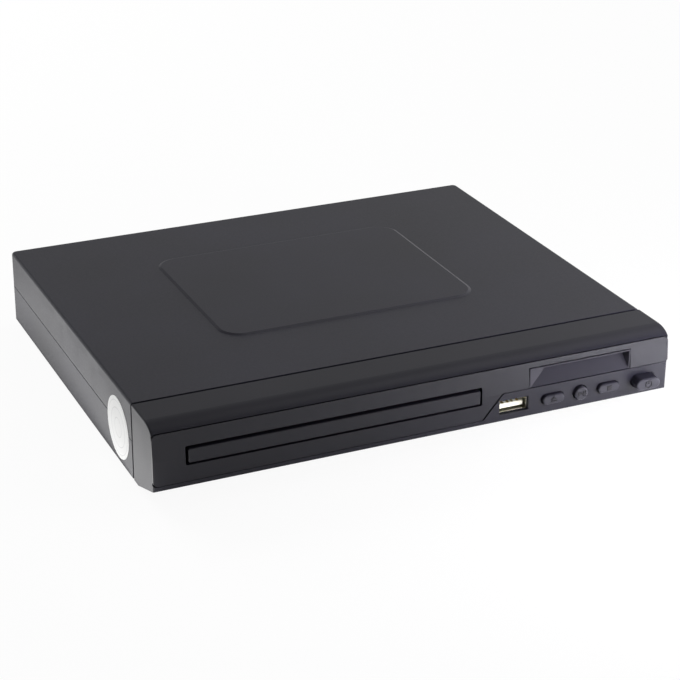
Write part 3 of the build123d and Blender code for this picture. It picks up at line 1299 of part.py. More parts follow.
def jack_shells():
    """Plated metal sleeves of the round sockets."""
    low = back_y + JACK_COLLAR_PROUD
    high = back_y + JACK_REACH
    return [bar_y(x, jack_z, low, high, JACK_RADIUS)
            - bar_y(x, jack_z, low - OVERRUN, high + OVERRUN, JACK_RADIUS - JACK_WALL) for x in jack_places]


def hdmi_outline(inset):
    """Outline of the video socket, with its two lower corners slanted."""
    width = HDMI_WIDTH / 2 - inset
    height = HDMI_HEIGHT / 2 - inset
    slant = HDMI_CHAMFER
    corners = ((slant - width, -height), (width - slant, -height), (width, slant - height),
               (width, height), (-width, height), (-width, slant - height))
    return Pos(hdmi_x, hdmi_z) * polygon(*corners)


def hdmi_socket():
    """Steel video socket with its tongue."""
    end = back_y + HDMI_PROUD
    start = end - HDMI_DEPTH
    shell = panel(hdmi_outline(0), start, end)
    shell -= panel(hdmi_outline(HDMI_SHELL), start + HDMI_BACK, end + OVERRUN)
    return shell + block(about(hdmi_x, HDMI_TONGUE_WIDTH), (start, end - HDMI_TONGUE_SETBACK),
                         about(hdmi_z, HDMI_TONGUE_THICKNESS))


def mains_inlet():
    """Two-pin mains inlet: a moulded block with a mouth shaped like two joined circles."""
    end = back_y + INLET_PROUD
    body = block(about(inlet_x, INLET_WIDTH), (end - INLET_DEPTH, end), about(inlet_z, INLET_HEIGHT))
    mouth = Pos(inlet_x, inlet_z) * pill(INLET_MOUTH_WIDTH, INLET_MOUTH_HEIGHT)
    body -= panel(mouth, end - INLET_MOUTH_DEPTH, end + OVERRUN)
    return body - [bar_y(x, inlet_z, end - INLET_DEPTH - OVERRUN, end, INLET_PIN_RADIUS + INLET_PIN_GAP)
                   for x in about(inlet_x, INLET_PIN_PITCH)]


def inlet_pins():
    """Contact pins of the mains inlet."""
    end = back_y + INLET_PROUD
    return [bar_y(x, inlet_z, end - INLET_DEPTH, end - INLET_PIN_SETBACK, INLET_PIN_RADIUS)
            for x in about(inlet_x, INLET_PIN_PITCH)]


def front_ribbon():
    """Flat cable from the front board along the floor to the main board."""
    start = front_board_y + BOARD_THICKNESS + CONNECTOR_DEPTH
    low = floor_z + RIBBON_DIP
    fall = front_link_z - low
    climb = main_link_z - low
    step = 2 * RIBBON_BEND
    points = ((start, front_link_z), (start + step, front_link_z), (start + step + fall, low),
              (board_front - step - climb, low), (board_front - step, main_link_z),
              (board_front, main_link_z))
    strip = trace(FilletPolyline(*points, radius=RIBBON_BEND), RIBBON_THICKNESS)
    return run_x(strip, *about(ribbon_x, RIBBON_WIDTH))


def ribbon_connectors():
    """Plastic connectors at both ends of the flat cable."""
    rear = front_board_y + BOARD_THICKNESS
    across = about(ribbon_x, CONNECTOR_WIDTH)
    front = block(across, (rear, rear + CONNECTOR_DEPTH), about(front_link_z, CONNECTOR_HEIGHT))
    back = block(across, (board_front, board_front + CONNECTOR_DEPTH), about(main_link_z, CONNECTOR_HEIGHT))
    return [front, back]


def power_jumper():
    """Short flat cable that arches from the supply board to the main board."""
    rise = board_top + JUMPER_RISE
    left = supply_right - BOARD_POST_INSET
    right = board_left + BOARD_POST_INSET
    points = ((left, board_top), (left, rise), (right, rise), (right, board_top))
    path = FilletPolyline(*points, radius=RIBBON_BEND)
    rear = board_rear - BOARD_POST_INSET
    return panel(trace(path, RIBBON_THICKNESS), rear - JUMPER_WIDTH, rear)


def inner_screws():
    """Pan-head screws of the loader, the boards and the clamp bridge."""
    screws = [pan_screw(x, y, plate_top) for x, y in ears]
    screws += [pan_screw(x, y, board_top) for x, y in main_posts + supply_posts]
    screws += [pan_screw(x, y, bridge_top) for x, y in bridge_screws]
    lying = pan_screw(0, 0, 0)
    rear = front_board_y + BOARD_THICKNESS
    screws += [Pos(x, rear, front_post_z) * Rot(-90, 0, 0) * lying for x in front_post_x]
    return screws


pieces = {
    "bottom_shell": bottom_shell(),
    "top_cover": top_cover(),
    "front_panel": front_panel(),
    "front_fascia": front_fascia(),
    "display_window": display_window(),
    "rubber_feet": rubber_feet(),
    "case_screws": case_screws(),
    "seal_sticker": seal_sticker(),
    "front_board": front_board(),
    "tact_switches": [switch_body(name, SWITCH_WIDTH) for name in ("eject", "play", "stop")],
    "power_switch": switch_body("power", POWER_SWITCH_WIDTH),
    "usb_shell": usb_shell(),
    "usb_tongue": usb_tongue(),
    "led_display": led_display(),
    "front_ribbon": front_ribbon(),
    "ribbon_connectors": ribbon_connectors(),
    "loader_chassis": loader_chassis(),
    "clamp_bridge": clamp_bridge(),
    "loading_motor": loading_motor(),
    "drive_belt": drive_belt(),
    "inner_screws": inner_screws(),
    "power_board": board(supply_left, supply_right, supply_front, board_rear, supply_posts),
    "transformer": transformer(),
    "filter_capacitors": filter_capacitors(),
    "main_board": board(board_left, board_right, board_front, board_rear, main_posts),
    "decoder_chip": decoder_chip(),
    "power_jumper": power_jumper(),
    "jack_block": jack_block(),
    "video_jack": jack_core(jack_places[0]),
    "left_audio_jack": jack_core(jack_places[1]),
    "right_audio_jack": jack_core(jack_places[2]),
    "jack_shells": jack_shells(),
    "hdmi_socket": hdmi_socket(),
    "mains_inlet": mains_inlet(),
    "inlet_pins": inlet_pins(),
    "disc_tray": disc_tray(),
    "tray_door": tray_door(),
    "drive_gear": drive_gear(),
    "pulley_gear": pulley_gear(),
    "motor_pulley": motor_pulley(),
    "cam_slide": cam_slide(),
    "clamper": clamper(),
    "clamper_cap": clamper_cap(),
    "traverse_deck": lowered(traverse_deck()),
    "spindle_motor": lowered(spindle_motor()),
    "guide_rods": [lowered(rod) for rod in guide_rods()],
    "sled_motor": lowered(sled_motor()),
    "turntable": lowered(turntable()),
    "lead_screw": lowered(lead_screw()),
    "pickup_sled": lowered(pickup_sled()),
    "pickup_lens": lowered(pickup_lens()),
}
for name in button_x:
    proud = POWER_PROUD if name == "power" else BUTTON_PROUD
    pieces[name + "_button"] = push_button(name, proud, BUTTON_EDGE)
    pieces[name + "_plunger"] = plunger(name)

os.makedirs("parts", exist_ok=True)
for name, shape in pieces.items():
    if isinstance(shape, list):
        solids = [solid for item in shape for solid in item.solids()]
        shape = Compound(children=solids)
    export_step(shape, f"parts/{name}.step")
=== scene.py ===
import json
import math

import bpy
import numpy as np
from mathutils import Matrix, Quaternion, Vector


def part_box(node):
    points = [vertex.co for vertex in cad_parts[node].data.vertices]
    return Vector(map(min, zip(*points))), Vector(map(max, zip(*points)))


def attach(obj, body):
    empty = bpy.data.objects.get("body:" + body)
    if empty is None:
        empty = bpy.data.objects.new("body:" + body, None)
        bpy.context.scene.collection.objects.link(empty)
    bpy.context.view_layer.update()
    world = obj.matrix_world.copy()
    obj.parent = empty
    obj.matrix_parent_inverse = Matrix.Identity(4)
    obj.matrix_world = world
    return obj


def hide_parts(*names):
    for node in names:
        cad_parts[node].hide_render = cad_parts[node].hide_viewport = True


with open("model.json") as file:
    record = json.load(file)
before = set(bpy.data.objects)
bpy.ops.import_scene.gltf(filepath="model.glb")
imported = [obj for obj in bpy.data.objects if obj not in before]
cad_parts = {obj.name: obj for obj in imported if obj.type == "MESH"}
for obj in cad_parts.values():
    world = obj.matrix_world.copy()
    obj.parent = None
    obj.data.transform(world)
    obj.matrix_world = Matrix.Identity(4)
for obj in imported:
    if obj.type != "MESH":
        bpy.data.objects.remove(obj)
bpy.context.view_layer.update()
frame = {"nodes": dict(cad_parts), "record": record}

cad_nodes = frame["nodes"]

# Lower case and lid: two shells of charcoal ABS, injection moulded and screwed together from below.
# Both tools were spark eroded, which leaves the same even, fine grain on every wall.
MM = 0.001
MELT_DRIFT_MM = 45.0
MOULD_OCTAVES = 2.0
NOISE_LOW, NOISE_HIGH = 0.3, 0.7
GLOSS_SPREAD = 0.06
PLASTIC_IOR = 1.5


def linear(code):
    """Linear RGBA of an sRGB hex code: c / 12.92 up to 0.04045, and above that
    ((c + 0.055) / 1.055) ^ 2.4."""
    level = np.array([int(code[at:at + 2], 16) for at in (0, 2, 4)]) / 255
    level = np.where(level <= 0.04045, level / 12.92, ((level + 0.055) / 1.055) ** 2.4)
    return (*(float(value) for value in level), 1.0)


def add(material, kind, inputs=None, stops=(), **settings):
    """Adds one shader node. Inputs are values, or sockets to link; stops are the places and hex
    colours of a ramp; settings are the node's own fields."""
    tree = material.node_tree
    made = tree.nodes.new("ShaderNode" + kind)
    for field, value in settings.items():
        setattr(made, field, value)
    for key, value in (inputs or {}).items():
        if isinstance(value, bpy.types.NodeSocket):
            tree.links.new(value, made.inputs[key])
        else:
            made.inputs[key].default_value = value
    if stops:
        ramp = made.color_ramp.elements
        ramp.remove(ramp[-1])
        for index, (place, code) in enumerate(stops):
            stop = ramp.new(place) if index else ramp[0]
            stop.position = place
            stop.color = linear(code)
    return made


def blank(name):
    """A material with an empty node tree."""
    made = bpy.data.materials.new(name)
    made.use_nodes = True
    made.node_tree.nodes.clear()
    return made


def shaded(code, share):
    """A hex colour with each level multiplied by a share."""
    levels = [min(255, round(int(code[at:at + 2], 16) * share)) for at in (0, 2, 4)]
    return "".join(f"{level:02x}" for level in levels)


def moulded(name, colour, grain, rough, depth=0.012, level=0.3, drift=0.07):
    """Moulded plastic. Noise as wide as the tool's grain gives bump and gloss, and noise over some
    centimetres gives the slight drift of colour in the melt. Grain and depth are in millimetres.
    Real grain is about 0.1 mm wide, and is drawn coarser so that it shows."""
    made = blank(name)
    place = add(made, "TexCoord").outputs["Object"]
    fine = add(made, "TexNoise", {
        "Vector": place, "Scale": 1 / (grain * MM), "Detail": MOULD_OCTAVES})
    wide = add(made, "TexNoise", {
        "Vector": place, "Scale": 1 / (MELT_DRIFT_MM * MM), "Detail": MOULD_OCTAVES})
    tint = add(made, "ValToRGB", {"Fac": wide.outputs["Fac"]}, stops=(
        (NOISE_LOW, shaded(colour, 1 - drift)), (NOISE_HIGH, shaded(colour, 1 + drift))))
    gloss = add(made, "MapRange", {
        "Value": fine.outputs["Fac"],
        "To Min": rough - GLOSS_SPREAD, "To Max": rough + GLOSS_SPREAD})
    bump = add(made, "Bump", {"Height": fine.outputs["Fac"], "Distance": depth * MM})
    shader = add(made, "BsdfPrincipled", {
        "Base Color": tint.outputs["Color"], "Roughness": gloss.outputs["Result"],
        "Normal": bump.outputs["Normal"], "IOR": PLASTIC_IOR, "Specular IOR Level": level})
    add(made, "OutputMaterial", {"Surface": shader.outputs["BSDF"]})
    return made


def finish(material, *names):
    """Gives CAD nodes a material."""
    for name in names:
        cad_nodes[name].data.materials[0] = material


# Spark-eroded ABS: its grain scatters the light, so that the broad lid looks soft grey, not black.
case_abs = moulded("charcoal_abs_eroded", "1e1d27", grain=0.7, rough=0.46, level=0.5)
finish(case_abs, "bottom_shell", "top_cover")

# Feet: four tapered pads of black rubber, pressed and stuck into shallow seats of the floor. Rubber
# is dull and takes up dust, so it has a rough skin with hardly any shine.
black_rubber = moulded("black_rubber", "151515", grain=0.9, rough=0.75, depth=0.03)
finish(black_rubber, "rubber_feet")

# Boards: glass fibre with copper tracks under green solder mask, screwed to posts of the floor and
# of the front panel. The mask is glossy, and lighter where it lies over copper. Real tracks lie
# about 0.5 mm apart, and are drawn coarser so that they show.
TRACK_PITCH_MM = 2.4
TRACK_RISE_MM = 0.03
TRACK_SHARE = 0.05
PITCHES_A_RUN = 3.1
board_mask = blank("green_solder_mask")
board_place = add(board_mask, "TexCoord").outputs["Object"]
tracks = add(board_mask, "TexBrick", {
    "Vector": board_place, "Scale": 1 / (TRACK_PITCH_MM * MM),
    "Color1": linear("1d4a2e"), "Color2": linear("235536"), "Mortar": linear("35764b"),
    "Mortar Size": TRACK_SHARE, "Brick Width": PITCHES_A_RUN, "Row Height": 1.0})
board_bump = add(board_mask, "Bump", {
    "Height": tracks.outputs["Fac"], "Distance": TRACK_RISE_MM * MM})
board_shader = add(board_mask, "BsdfPrincipled", {
    "Base Color": tracks.outputs["Color"], "Roughness": 0.3,
    "Normal": board_bump.outputs["Normal"]})
add(board_mask, "OutputMaterial", {"Surface": board_shader.outputs["BSDF"]})
finish(board_mask, "front_board", "main_board", "power_board")

# Parts on the boards: a ferrite transformer dipped in varnish, sleeved capacitors, the large chip
# and the switches in black nylon, cream connectors, and flat cables of white film between boards.
# Varnish dries in patches, so the brown of the ferrite is uneven and half glossy.
varnished_ferrite = moulded(
    "varnished_ferrite", "4a3a2c", grain=1.2, rough=0.5, depth=0.05, drift=0.2)
finish(varnished_ferrite, "transformer")
# Film shrunk over the cans is smooth and takes a clear highlight along each of them.
sleeve_film = moulded("capacitor_sleeve_film", "1b2140", grain=1.0, rough=0.3, depth=0.004)
finish(sleeve_film, "filter_capacitors")
# Cast resin is dark, and nearly as smooth as its mould.
display_resin = moulded("display_resin", "1c1c1d", grain=0.8, rough=0.3)
finish(display_resin, "led_display")
# Rolled film is white, thin and a little silky.
cable_film = moulded("white_film_cable", "dcdcda", grain=0.9, rough=0.4)
finish(cable_film, "front_ribbon", "power_jumper")
# Nylon from a plain tool is even and half matt, whether black or left in its own cream.
black_nylon = moulded("black_nylon", "161617", grain=0.5, rough=0.5)
finish(black_nylon, "tact_switches", "power_switch", "decoder_chip")
cream_nylon = moulded("cream_nylon", "f6efda", grain=0.5, rough=0.5)
finish(cream_nylon, "ribbon_connectors")

# Back sockets: a black block with three round sockets in tin-plated shells, a flat picture socket
# folded from tinned steel, and the mains inlet with two brass pins.
MARK_RISE_MM = 0.004
MARK_OCTAVES = 3.0
MARK_SHADE = 0.9
MARK_SMOOTHER, MARK_ROUGHER = 0.08, 0.1
JACK_COLOURS = (("yellow", "e0b31c", "video_jack"), ("white", "ecebe6", "left_audio_jack"),
                ("red", "b41f1c", "right_audio_jack"))


def plated(name, colour, mark, rough, packed=(1.0, 1.0, 1.0)):
    """Bright or plated metal. Noise as wide as the marks of rolling, grinding or tumbling, in
    millimetres, packed closer along each axis by a factor, varies the gloss and tilts the skin
    slightly. Real marks are finer, and are drawn coarser so that they show."""
    made = blank(name)
    place = add(made, "TexCoord").outputs["Object"]
    drawn = add(made, "Mapping", {"Vector": place, "Scale": packed})
    marks = add(made, "TexNoise", {
        "Vector": drawn.outputs["Vector"], "Scale": 1 / (mark * MM), "Detail": MARK_OCTAVES})
    tint = add(made, "ValToRGB", {"Fac": marks.outputs["Fac"]}, stops=(
        (NOISE_LOW, shaded(colour, MARK_SHADE)), (NOISE_HIGH, colour)))
    gloss = add(made, "MapRange", {
        "Value": marks.outputs["Fac"],
        "To Min": rough - MARK_SMOOTHER, "To Max": rough + MARK_ROUGHER})
    bump = add(made, "Bump", {"Height": marks.outputs["Fac"], "Distance": MARK_RISE_MM * MM})
    shader = add(made, "BsdfPrincipled", {
        "Base Color": tint.outputs["Color"], "Roughness": gloss.outputs["Result"],
        "Normal": bump.outputs["Normal"], "Metallic": 1.0})
    add(made, "OutputMaterial", {"Surface": shader.outputs["BSDF"]})
    return made


# Tin plate is bright and slightly warm, with fine marks along the strip that it was rolled from.
tin_plate = plated("tin_plate", "dedbd3", mark=0.35, rough=0.2, packed=(1.0, 1.0, 8.0))
finish(tin_plate, "hdmi_socket", "jack_shells")
# Dyed nylon is strong in colour and a little glossier than the black: yellow for the picture,
# white and red for the sound.
for dye, code, jack in JACK_COLOURS:
    finish(moulded(dye + "_nylon", code, grain=0.5, rough=0.42), jack)
finish(black_nylon, "mains_inlet", "jack_block")
# Brass drawn to wire and strip is bright and golden, with short, fine marks.
brass = plated("bright_brass", "d9b65c", mark=0.3, rough=0.28)
finish(brass, "inlet_pins")

# Loader: frame, deck, turntable and clamper are black ABS with glass fibre, which leaves a dull,
# slightly cloudy skin. Gears, motor pulley and cam slide are white acetal, which runs dry and looks
# waxy. A rubber belt joins the motor's pulley to the first gear.
loader_abs = moulded("black_abs_glass_filled", "1d1d1f", grain=0.6, rough=0.5)
finish(loader_abs, "loader_chassis", "traverse_deck", "turntable", "clamper")
white_acetal = moulded("white_acetal", "e6e5df", grain=0.8, rough=0.34, depth=0.004)
finish(white_acetal, "drive_gear", "pulley_gear", "motor_pulley", "cam_slide")
finish(black_rubber, "drive_belt")

# Motors, clamp bridge and clamper cap: pressed steel, zinc plated, slightly milky. The guide rods
# are ground steel, with fine rings round the rod and a bright line along it.
zinc_plate = plated("zinc_plate", "b9bcc0", mark=0.6, rough=0.42)
finish(zinc_plate, "clamp_bridge", "clamper_cap", "loading_motor", "spindle_motor", "sled_motor")
ground_steel = plated("ground_steel", "c8cacc", mark=0.25, rough=0.22, packed=(0.1, 1.0, 0.1))
finish(ground_steel, "guide_rods")

# Lead screw: ground steel rod with a rolled thread that draws the laser sled along. It turns in the
# sled motor in front and in a hole of the deck behind.
THREAD_PITCH_MM = 3.0
THREAD_DEPTH_MM = 0.32
GROOVE_CUT, GROOVE_FLANK = 1.6, 5.0
PLAIN_END_TURNS = 0.3
ROWS_A_TURN = 18
ROUND_STEPS = 28
SHARP_DEGREES = 40
screw_low, screw_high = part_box("lead_screw")
screw_axis = next(np.array(joint["axis"]) for joint in frame["record"]["behaviour"]["joints"]
                  if joint["child"] == "lead_screw")


def mesh_piece(name, points, faces, material, body, rounded=True):
    """A mesh object at the origin that rides on a body. Where it is rounded, its faces are shaded
    smooth, apart from sharp edges."""
    mesh = bpy.data.meshes.new(name)
    mesh.from_pydata(points.tolist(), [], faces)
    if rounded:
        mesh.polygons.foreach_set("use_smooth", np.ones(len(mesh.polygons), bool))
        mesh.set_sharp_from_angle(angle=math.radians(SHARP_DEGREES))
    mesh.materials.append(material)
    mesh.update()
    made = bpy.data.objects.new(name, mesh)
    bpy.context.scene.collection.objects.link(made)
    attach(made, body)
    return made


def grid_faces(rows, columns, closed=True):
    """Quads between neighbouring rows of a grid of points, closed round its columns or open."""
    row, column = np.meshgrid(
        np.arange(rows - 1), np.arange(columns if closed else columns - 1), indexing="ij")
    after = (column + 1) % columns
    quads = np.stack([row * columns + column, row * columns + after,
                      (row + 1) * columns + after, (row + 1) * columns + column], -1)
    return quads.reshape(-1, 4).tolist()


def ring_ends(rows, columns):
    """Faces that close the first and the last row of a grid that is closed round its columns."""
    last = (rows - 1) * columns
    return [list(range(columns))[::-1], list(range(last, last + columns))]


def threaded_rod(foot, axis, length, radius, pitch, depth):
    """Threaded rod with closed ends, in metres, along an axis square to x. At distance s along it
    and angle v its radius is the outer one less the depth times a trapezium wave of
    s / pitch - v / turn, which fades out near both ends."""
    axis = np.array(axis) / np.linalg.norm(axis)
    side = np.cross(axis, (1.0, 0.0, 0.0))
    side /= np.linalg.norm(side)
    other = np.cross(axis, side)
    rows = math.ceil(length / pitch * ROWS_A_TURN)
    along, turn = np.meshgrid(
        np.linspace(0, length, rows), np.arange(ROUND_STEPS) / ROUND_STEPS, indexing="ij")
    phase = (along / pitch - turn) % 1
    groove = np.clip(GROOVE_CUT - np.abs(phase - 0.5) * GROOVE_FLANK, 0, 1)
    fade = np.clip(np.minimum(along, length - along) / pitch - PLAIN_END_TURNS, 0, 1)
    reach = (radius - depth * groove * fade)[..., None]
    angle = turn[..., None] * math.tau
    outwards = np.cos(angle) * side + np.sin(angle) * other
    points = np.array(foot) + along[..., None] * axis + reach * outwards
    return points.reshape(-1, 3), grid_faces(rows, ROUND_STEPS) + ring_ends(rows, ROUND_STEPS)


# The rod rises a little towards the back, so its box also holds the tilt of its two ends.
rod_radius = (screw_high.x - screw_low.x) / 2
rod_length = (screw_high.y - screw_low.y - 2 * rod_radius * abs(screw_axis[2])) / screw_axis[1]
rod_foot = np.array((screw_low + screw_high) / 2) - screw_axis * rod_length / 2
rod_points, rod_faces = threaded_rod(
    rod_foot, screw_axis, rod_length, rod_radius, THREAD_PITCH_MM * MM, THREAD_DEPTH_MM * MM)
lead_thread = mesh_piece(
    "lead_thread", rod_points, rod_faces, ground_steel, "lead_screw")
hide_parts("lead_screw")

# Laser sled: zinc die casting, tumbled to a dull grey, with a small pressed lens in a collar. The
# lens is coated against reflections, and the coat shows blue, slightly clouded.
COAT_CLOUD_MM = 1.5
finish(plated("tumbled_zinc_casting", "9a9ca0", mark=1.2, rough=0.5), "pickup_sled")
lens_glass = blank("coated_lens_glass")
lens_place = add(lens_glass, "TexCoord").outputs["Object"]
lens_noise = add(lens_glass, "TexNoise", {"Vector": lens_place, "Scale": 1 / (COAT_CLOUD_MM * MM)})
lens_tint = add(lens_glass, "ValToRGB", {"Fac": lens_noise.outputs["Fac"]}, stops=(
    (NOISE_LOW, "3b4f8f"), (NOISE_HIGH, "5a78b8")))
lens_shader = add(lens_glass, "BsdfPrincipled", {
    "Base Color": lens_tint.outputs["Color"], "Roughness": 0.05, "IOR": 1.52, "Coat Weight": 0.6})
add(lens_glass, "OutputMaterial", {"Surface": lens_shader.outputs["BSDF"]})
finish(lens_glass, "pickup_lens")

# Tray: one black ABS moulding with a rack for the drive gear, which slides in the loader's frame.
# Its tool was finely eroded, so the hollow that takes the disc is matt.
finish(moulded("black_abs_tray", "1b1b1d", grain=0.6, rough=0.45), "disc_tray")

# Front panel: one ABS moulding clipped to the case. Its tool was rubbed finer than that of the
# case, so the rounded upper edge and the lower strip have a smooth, silky skin.
panel_abs = moulded(
    "charcoal_abs_silk", "1a1921", grain=0.5, rough=0.42, depth=0.004, level=0.36)
finish(panel_abs, "front_panel")

# Fascia: thin ABS skin laid into the front panel and sprayed with satin lacquer. The tray door is
# the same moulding cut out of it, so both share the lacquer and its quiet shine. Their charcoal is
# partly the lacquer's own, and is drawn darker than the panel's as painted shade of the front face.
fascia_lacquer_and_shade = moulded(
    "satin_lacquer_and_painted_shade", "15141b", grain=0.45, rough=0.36, depth=0.004, level=0.42)
finish(fascia_lacquer_and_shade, "front_fascia", "tray_door")

# Display window: acrylic smoked so dark that nothing behind it shows, with a scooped face. Its tool
# was blasted fine, so it scatters the light, and its slopes differ only a little in tone.
finish(moulded("smoked_acrylic", "24232a", grain=0.9, rough=0.36, depth=0.001), "display_window")

# Data socket: a shell folded from tinned steel, with a cream nylon tongue. Four sprung contacts of
# bright brass lie on the tongue, each with a tip that dips and a hump where a plug presses.
CONTACT_X_MM = (-3.5, -1.0, 1.0, 3.5)
CONTACT_WIDTH_MM = 1.0
CONTACT_LENGTH_MM = 7.4
CONTACT_SETBACK_MM = 0.5
CONTACT_THICKNESS_MM = 0.16
CONTACT_HUMP_MM = 0.22
TONGUE_TOP_MM = 0.2
CONTACT_ROWS = 24
finish(tin_plate, "usb_shell")
finish(cream_nylon, "usb_tongue")
tongue_low, tongue_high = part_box("usb_tongue")
tongue_middle = (tongue_low + tongue_high) / 2


def contact_strip(x, start_y, face_z):
    """Sprung strip with closed ends. A rectangle is carried back along it; at share u its upper
    face lies at the thickness plus the hump times sin(pi u) squared, and its tip dips by the
    thickness times (1 - u) ^ 12."""
    share = np.linspace(0, 1, CONTACT_ROWS)[:, None]
    hump = CONTACT_HUMP_MM * np.sin(math.pi * share) ** 2
    dip = CONTACT_THICKNESS_MM * (1 - share) ** 12
    across = np.array((-0.5, 0.5, 0.5, -0.5)) * CONTACT_WIDTH_MM
    upper = np.array((0.0, 0.0, 1.0, 1.0)) * CONTACT_THICKNESS_MM
    points = np.stack(np.broadcast_arrays(
        x + across * MM, start_y + share * CONTACT_LENGTH_MM * MM,
        face_z + (hump - dip + upper) * MM), -1)
    faces = grid_faces(CONTACT_ROWS, 4) + ring_ends(CONTACT_ROWS, 4)
    return points.reshape(-1, 3), [face[::-1] for face in faces]


def joined(parts):
    """One mesh of several parts: their points follow each other, and their faces count on."""
    points, faces, start = [], [], 0
    for part_points, part_faces in parts:
        points.append(part_points)
        faces += [[corner + start for corner in face] for face in part_faces]
        start += len(part_points)
    return np.concatenate(points), faces


contact_y = tongue_low.y + CONTACT_SETBACK_MM * MM
contact_z = tongue_middle.z + TONGUE_TOP_MM * MM
contact_points, contact_faces = joined(
    [contact_strip(tongue_middle.x + x * MM, contact_y, contact_z) for x in CONTACT_X_MM])
mesh_piece("usb_contacts", contact_points, contact_faces, brass, "case")

# Push buttons: charcoal ABS caps that stand out of the lower strip, each with a plunger behind it.
# They are half matt like the strip. The signs on them are the usual ones, raised in the moulding
# of the same plastic and drawn a little darker, as painted shade.
SIGN_HEIGHT_MM = 0.22
SIGN_SINK_MM = 0.05
SIGN_BEVEL_MM = 0.12
button_abs = moulded(
    "charcoal_abs_buttons", "1f1e26", grain=0.5, rough=0.40, depth=0.006, level=0.5)
finish(button_abs, "eject_button", "play_button", "stop_button", "power_button")
finish(black_nylon, "eject_plunger", "play_plunger", "stop_plunger", "power_plunger")


def raised(outline, face_y):
    """Raised outline on an upright face. It is carried forward in three rings: sunk foot, shoulder,
    and a top drawn in by the bevel along each point's mean normal."""
    along = np.roll(outline, -1, 0) - np.roll(outline, 1, 0)
    along /= np.linalg.norm(along, axis=1, keepdims=True)
    top = outline + np.stack([-along[:, 1], along[:, 0]], 1) * SIGN_BEVEL_MM
    rings = np.stack([outline, outline, top]) * MM
    forward = np.array((-SIGN_SINK_MM, SIGN_HEIGHT_MM - SIGN_BEVEL_MM, SIGN_HEIGHT_MM)) * MM
    depth = np.broadcast_to(face_y - forward[:, None], rings.shape[:2])
    points = np.stack([rings[..., 0], depth, rings[..., 1]], -1)
    return points.reshape(-1, 3), grid_faces(3, len(outline)) + ring_ends(3, len(outline))


def bar(x, z, width, height):
    """Corners of an upright rectangle about a place, in millimetres, turning left."""
    return np.array([(-1, -1), (1, -1), (1, 1), (-1, 1)]) * (width / 2, height / 2) + (x, z)


def arc_band(x, z, radius, width, start, end, steps=28):
    """Outline of a ring's arc: the outer edge from start to end, then the inner edge back."""
    turn = np.radians(np.linspace(start, end, steps))
    edge = np.stack([np.cos(turn), np.sin(turn)], 1)
    band = np.concatenate([edge * (radius + width / 2), edge[::-1] * (radius - width / 2)])
    return band + (x, z)


SIGNS_MM = {
    "eject": [np.array([(-1.5, 0.0), (1.5, 0.0), (0.0, 1.5)]), bar(0, -0.75, 3.0, 0.65)],
    "play": [np.array([(-1.9, -1.25), (0.2, 0.0), (-1.9, 1.25)]),
             bar(0.75, 0, 0.5, 2.5), bar(1.65, 0, 0.5, 2.5)],
    "stop": [bar(0, 0, 2.1, 2.1)],
    "power": [arc_band(0, -0.1, 1.45, 0.5, 125, 415), bar(0, 0.95, 0.5, 1.7)],
}
# The signs have the half-matt skin of the caps, but mirror less; their darker tone is painted
# shade.
shade_painted_sign_abs = moulded("charcoal_abs_signs_painted_shade", "19181b", grain=0.5, rough=0.40, depth=0.004)
for button, outlines in SIGNS_MM.items():
    cap_low, cap_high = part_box(button + "_button")
    cap_middle = (cap_low + cap_high) / 2 / MM
    sign_points, sign_faces = joined(
        [raised(outline + (cap_middle.x, cap_middle.z), cap_low.y) for outline in outlines])
    mesh_piece(button + "_sign", sign_points, sign_faces, shade_painted_sign_abs,
               button + "_button", rounded=False)

# Case screws: four self-tapping screws of zinc-plated steel, driven up through the floor's posts
# into the lid. Their pan heads have a cross recess, and the shanks a coarse thread. The smaller
# screws inside are of the same plate.
HEAD_RADIUS_MM = 2.6
HEAD_HEIGHT_MM = 2.0
HEAD_CROWN_MM = 0.55
HEAD_ROWS = 22
HEAD_STEPS = 64
EYE_SHARE, NECK_SHARE = 0.03, 0.4
CROSS_HALF_MM = 0.42
CROSS_REACH_MM = 1.55
CROSS_DEPTH_MM = 1.1
CROSS_SLOPE_MM = 0.3
SHANK_RADIUS_MM = 1.5
TAPPING_PITCH_MM = 1.3
TAPPING_DEPTH_MM = 0.4
finish(zinc_plate, "inner_screws")
screws_low, screws_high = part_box("case_screws")


def pan_head(x, y, z):
    """Pan head that opens downwards. At radius r the face lies the crown times (r / R) ^ 4 above
    its lowest point; within an arm of the cross it lies deeper, by a slope from the arm's edge
    inwards. A last row at the full height and a flat ring close it against the shank."""
    share = np.concatenate([np.linspace(EYE_SHARE, 1, HEAD_ROWS), (1.0, NECK_SHARE)])
    radius, turn = np.meshgrid(
        share * HEAD_RADIUS_MM, np.arange(HEAD_STEPS) / HEAD_STEPS * math.tau, indexing="ij")
    east, north = radius * np.cos(turn), radius * np.sin(turn)
    arm = np.minimum(np.abs(east), np.abs(north))
    inside = np.clip((CROSS_HALF_MM - arm) / CROSS_SLOPE_MM, 0, 1)
    inside *= np.clip((CROSS_REACH_MM - radius) / CROSS_SLOPE_MM, 0, 1)
    rise = HEAD_CROWN_MM * (radius / HEAD_RADIUS_MM) ** 4 + CROSS_DEPTH_MM * inside
    rise[-2:] = HEAD_HEIGHT_MM
    points = np.stack([x + east * MM, y + north * MM, z + rise * MM], -1)
    faces = grid_faces(len(share), HEAD_STEPS) + ring_ends(len(share), HEAD_STEPS)
    return points.reshape(-1, 3), faces


